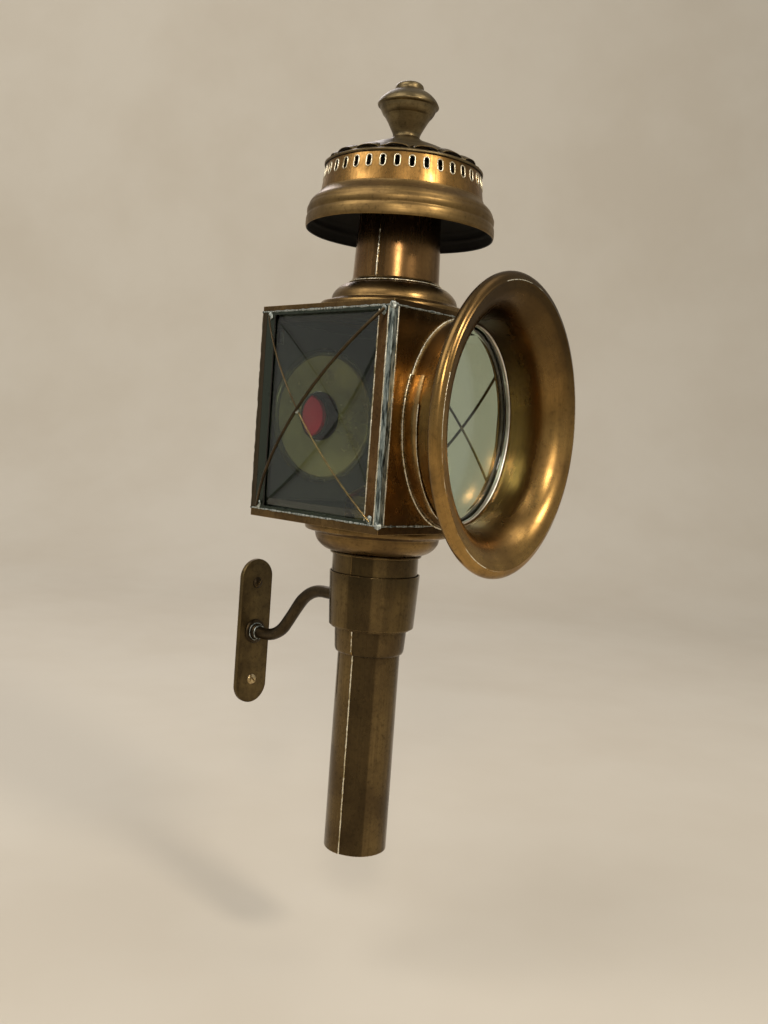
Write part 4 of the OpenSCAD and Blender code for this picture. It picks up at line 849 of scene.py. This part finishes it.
def bent_rod():
    """A round bar: straight out of the washer, up a slope between two bends, and level into the sleeve."""
    root, tip = 4.2, REACH - 27.9  # from the wall
    climb, start = radians(ROD_CLIMB), PLATE_T + WASHER_T + ROD_START
    slope = (ROD_RISE - 2 * ROD_BEND_R * (1 - cos(climb))) / sin(climb)
    level = start + 2 * ROD_BEND_R * sin(climb) + slope * cos(climb)
    bm = bmesh.new()
    bmesh.ops.create_circle(bm, cap_ends=True, segments=32, radius=ROD_R * MM)
    placed(bm, Matrix.Translation((0, -root * MM, 0)) @ TO_FRONT)
    loop = bm.edges[:]

    def straight(length, angle, cuts):
        nonlocal loop
        for _ in range(cuts):
            loop = pulled(bm, loop, (0, -cos(angle) * length / cuts, sin(angle) * length / cuts))

    def round_bend(y, z, angle):
        nonlocal loop
        verts = list({v for e in loop for v in e.verts})
        spun = bmesh.ops.spin(bm, geom=verts + loop, cent=(0, -y * MM, z * MM), axis=(1, 0, 0), angle=angle,
                              steps=12)
        loop = of_kind(BMEdge, spun["geom_last"])

    straight(start - root, 0.0, 6)
    round_bend(start, ROD_BEND_R, -climb)
    straight(slope, climb, 8)
    round_bend(level, ROD_RISE - ROD_BEND_R, climb)
    straight(tip - level, 0.0, 3)
    bmesh.ops.contextual_create(bm, geom=loop)
    return bm


piece("rounded_wall_plate", hand_made(rounded_plate(), 0.15, 18, 29), WALL_PLATE_BRASS, "bracket",
      ["wall_plate"])
for label, z, turn, finish in (("upper", SCREW_Z, 0.9, BRACKET_BRASS), ("lower", -SCREW_Z, 2.3, WORN_BRASS)):
    screw = placed(screw_head(turn), Matrix.Translation((0, -PLATE_T * MM, z * MM)))
    piece(label + "_wall_screw", screw, finish, "bracket", smooth=40)
piece("forged_rod", hand_made(bent_rod(), 0.3, 12, 31), BRACKET_BRASS, "bracket", ["bracket_rod"],
      60)
shoulder = joined([turned(line, 64) for line in (
    [(0.0, 3.0), (8.4, 3.0), (8.6, 3.4), (8.3, 4.1), (7.0, 4.6), (0.0, 4.7)],
    [(0.0, 4.4), (5.7, 4.4), (5.8, 6.6), (5.3, 7.8), (4.2, 8.6), (0.0, 8.8)])])
placed(shoulder, TO_FRONT @ Matrix.Translation((0, REACH * MM, 0)))
piece("rod_shoulder", hand_made(shoulder, 0.2, 6, 33), BRACKET_BRASS, "bracket", ["rod_washer"],
      50)
for name, radius, off, thick, seed in (("rod_root_solder", 4.6, 8.2, 0.5, 35),
                                       ("washer_edge_solder", 6.0, 4.9, 0.35, 36)):
    ring = [(x, -off, z) for x, z in circle(24, radius)]
    bead(name, ring, thick, SOLDER, 0.5, "bracket", seed=seed, closed=True)

# The spring under the candle, which on the real lamp closes up as the candle is pressed down; here it is one
# fixed coil that rides on the candle

spring_low, spring_high = (Vector(corner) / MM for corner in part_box("candle_spring"))
spring_wire, spring_curls, curl_points = 0.8, 18, 24
spring_r = (spring_high.x - spring_low.x) / 2 - spring_wire
rise = spring_high.z - spring_low.z - 2 * spring_wire
end_curl = 2 * spring_wire + 0.6
open_curl = (rise - 2 * end_curl) / (spring_curls - 2)
coil = []
for i in range(spring_curls * curl_points + 1):
    turn = i / curl_points
    closed_turns = min(turn, 1) + max(turn - spring_curls + 1, 0)
    height = closed_turns * end_curl + (turn - closed_turns) * open_curl
    coil.append((spring_r * cos(tau * turn), spring_r * sin(tau * turn) - REACH,
                 spring_low.z + spring_wire + height))
spring = bead("coiled_candle_spring", coil, spring_wire, STEEL, 0.0, "candle")
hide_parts("candle_spring")
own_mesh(spring)

# Guard wires, and the solder that holds the lantern together

def wire_path(side, tilt, bow):
    """A bowed wire across a side window, from corner to corner."""
    half = Vector((0, WIRE_END_Y, WIRE_END_Z * tilt))
    radius = (half.length_squared + bow * bow) / (2 * bow)
    reach = math.asin(half.length / radius)
    along = half.normalized()
    points = []
    for i in range(WIRE_STEPS + 1):
        a = reach * (2 * i / WIRE_STEPS - 1)
        out = HALF + WIRE_OUT + radius * cos(a) - (radius - bow)
        points.append(Vector((side * out, -REACH, WINDOW_MID_Z)) + along * radius * sin(a))
    return points


def blob(name, spot, radius, amount, size, seed, stretch=(1, 1, 1)):
    """A drop of solder at a spot in mm."""
    bm = bmesh.new()
    bmesh.ops.create_icosphere(bm, subdivisions=3, radius=radius * MM)
    bmesh.ops.scale(bm, verts=bm.verts, vec=stretch)
    placed(bm, Matrix.Translation(Vector(spot) * MM))
    piece(name, hand_made(bm, amount, size, seed), SOLDER, "lantern", smooth=80)


crossing = WIRE_STEPS // 2
for side, word in ((-1, "left"), (1, "right")):
    outer = bead(f"{word}_outer_guard_wire", wire_path(side, -1, 16.0), 0.95, BRACKET_BRASS, 0.0)
    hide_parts(f"{word}_guard")
    thick, path = 0.5 if side < 0 else 0.85, wire_path(side, 1, 14.1)
    bead(f"{word}_inner_guard_wire", path[:crossing + 1], thick, WIRE_BRASS, 0.0)
    # the wire is in two copies of its brass: bright below the crossing, and dark above it as painted shade
    bead(f"{word}_inner_guard_wire_shaded_end", path[crossing:], thick, BRACKET_BRASS, 0.0)
    for y in (-1, 1):
        for z in (-1, 1):
            spot = (side * (HALF + 0.2), y * (WIRE_END_Y - 0.8) - REACH, WINDOW_MID_Z + z * 58.1)
            blob(f"{word}_{'back' if y > 0 else 'front'}_{'high' if z > 0 else 'low'}_wire_solder",
                 spot, 2.0, 0.6, 2.2, 41 + 3 * y + z + side, stretch=(0.5, 1.0, 1.3))
    # a thin pale line, a painted highlight, where the strip's folded edge holds the pane
    x, y = side * (HALF + 0.05), -45.7 - REACH
    bead(f"{word}_pane_edge_highlight", [(x, y, WINDOW_Z0 + 2), (x, y, WINDOW_Z1 - 2)], 0.4, SEAM_SOLDER, 0.4,
         seed=80 + side)
blob("left_wire_crossing_solder", (-HALF - 16.2, -REACH, WINDOW_MID_Z), 1.5, 0.5, 2, 47)

corner, edge = HALF - 0.2, HALF - 0.05
for sx in (-1, 1):
    for sy in (-1, 1):
        name = f"{'back' if sy > 0 else 'front'}_{'right' if sx > 0 else 'left'}_corner_solder"
        foot = Vector((sx * corner, sy * corner - REACH, WINDOW_Z0 - 0.5))
        bead(name, [foot, foot + (WINDOW_Z1 - WINDOW_Z0 + 1) * UP], 0.6, POST_SOLDER, 0.3,
             seed=50 + sx + 2 * sy)
        if sy > 0:
            continue
        # the front posts' edges get thin pale lines beside the solder, as painted highlights
        for dx, dy, word in ((-sx * 3.8, 0.0, "front"), (0.0, 3.8, "side")):
            line = foot + Vector((dx, dy, 0.5))
            bead(f"{name}_{word}_line", [line, line + (WINDOW_Z1 - WINDOW_Z0) * UP], 0.5, SEAM_SOLDER, 0.3,
                 seed=90 + sx + 2 * sy)
        # the solder has pooled at both ends of the post
        for z, word in ((WINDOW_Z0, "foot"), (WINDOW_Z1, "head")):
            blob(f"{name}_{word}", (foot.x, foot.y, z), 2.2, 0.9, 2.4, 57 + sx + z)
for z, label, radius in ((WINDOW_Z1 + 0.1, "top", 0.6), (WINDOW_Z0 - 0.1, "bottom", 0.55)):
    square = [(x * edge, y * edge - REACH, z) for x, y in ((-1, -1), (1, -1), (1, 1), (-1, 1))]
    bead(f"{label}_edge_solder", square, radius, SOLDER, 0.5, seed=61, closed=True)

# Reflector in the back door

dish_line = [(44.5, 0.0), (43.6, -0.2), (43.0, -1.0), (42.2, -1.5), (41.3, -1.3), (40.7, -0.4), (40.2, 0.5),
             (38.0, 1.4), (33.0, 3.0), (27.0, 4.7), (21.0, 5.8), (16.5, 6.1)]
rim_back = 55.4  # the dish's rim lies this far behind the lamp's axis
on_door = (Matrix.Translation((0, -REACH * MM, WINDOW_MID_Z * MM)) @ TO_FRONT.inverted()
           @ Matrix.Translation((0, REACH * MM, rim_back * MM)))
dish = placed(turned(sheet_ring(curve_through(dish_line, 3), 0.6)), on_door)
piece("pressed_dish", dish, DISH, "back_door", ["reflector"], 50)
# a ring of brighter brass along the rim's crest, a painted highlight on the darkened rim
crest = placed(turned(circle(8, 0.3, 42.35, -1.45)), on_door)
piece("dish_rim_highlight_crest", crest, WIRE_BRASS, "back_door", smooth=80)

# Finishes of the solids that show as they are

FINISHES = {
    PRESSED: "lens_bezel door_knob nozzle nozzle_cone",
    STRIP_SHEET: "left_frame right_frame",
    PLATE_SHEET: "top_plate bottom_plate",
    DOOR_SHEET: "door_panel",
    FRONT_SHEET: "front_plate",
    GALLERY_SHEET: "gallery",
    ROOF_SHEET: "roof",
    INNER_SOOT_AND_SHADE_SHEET: "door_frame glass_seat cap_stays smoke_baffle baffle_spacer baffle_nut lens_tube tube_end "
                 "tube_pins candle_follower",
    BRACKET_BRASS: "body_hinges door_hinges hinge_pins",
    POST_SOLDER: "corner_posts",
    PANE: "left_glass right_glass",
    SIGNAL_RED: "red_lens",
    STEEL: "door_clip",
    WAX: "candle",
    WICK: "wick"}
for finish, names in FINISHES.items():
    for name in names.split():
        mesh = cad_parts[name].data
        mesh.materials.clear()
        mesh.materials.append(finish)

# Floor with a sweep behind, world and lamps

# the floor lies below the candle tube's foot at the end of its slide
floor_z, near, far, wide, cove, backdrop = -206.0, 6000.0, 2300.0, 4200.0, 900.0, 3600.0
sweep = bmesh.new()
start = [sweep.verts.new(Vector((x, -near, floor_z)) * MM) for x in (-wide, wide)]
loop = [sweep.edges.new(start)]
turns = [radians(7.5 * i) for i in range(13)]
rounding = [(cove * (sin(b) - sin(a)), cove * (cos(a) - cos(b))) for a, b in zip(turns, turns[1:])]
for dy, dz in [(near + far - cove, 0), *rounding, (0, backdrop)]:
    loop = pulled(sweep, loop, (0, dy, dz))
placed(sweep, Matrix.Rotation(radians(-45.4), 4, "Z"))  # square to the camera
studio_sweep = shown("studio_sweep", sweep, PAINT)

world = bpy.data.worlds.new("studio")
scene.world = world
world.use_nodes = True
world.node_tree.nodes.clear()
sky = add(world.node_tree, "Background", {"Color": linear("#e6e2da"), "Strength": 0.5})
add(world.node_tree, "OutputWorld", {"Surface": sky})

LANTERN_MIDDLE = (0, -REACH, 150)


def lamp(name, azimuth, elevation, distance, size, power, colour, target=LANTERN_MIDDLE):
    """A round soft light at a distance in m, turned to a target in mm. Its azimuth runs from -Y to +X."""
    data = bpy.data.lights.new(name, "AREA")
    data.shape = "DISK"
    data.size = size
    data.energy = power
    data.color = linear(colour)[:3]
    made = bpy.data.objects.new(name, data)
    scene.collection.objects.link(made)
    a, e = radians(azimuth), radians(elevation)
    away = Vector((sin(a) * cos(e), -cos(a) * cos(e), sin(e)))
    made.location = Vector(LANTERN_MIDDLE) * MM + away * distance
    made.rotation_mode = "QUATERNION"
    made.rotation_quaternion = (made.location - Vector(target) * MM).to_track_quat("Z", "Y")


lamp("key", -45, 22, 1.7, 0.24, 8, "#fff3e2")
lamp("front", -5, 32, 1.8, 0.3, 13, "#fff2e0")
lamp("high_front", 20, 62, 2.0, 1.0, 5, "#fff4e6")
lamp("back", 150, 40, 1.9, 0.8, 5, "#f6f4ff")
lamp("wall_wash", -112, 50, 2.6, 2.4, 52, "#fff8f0", (1500, 1900, 1300))
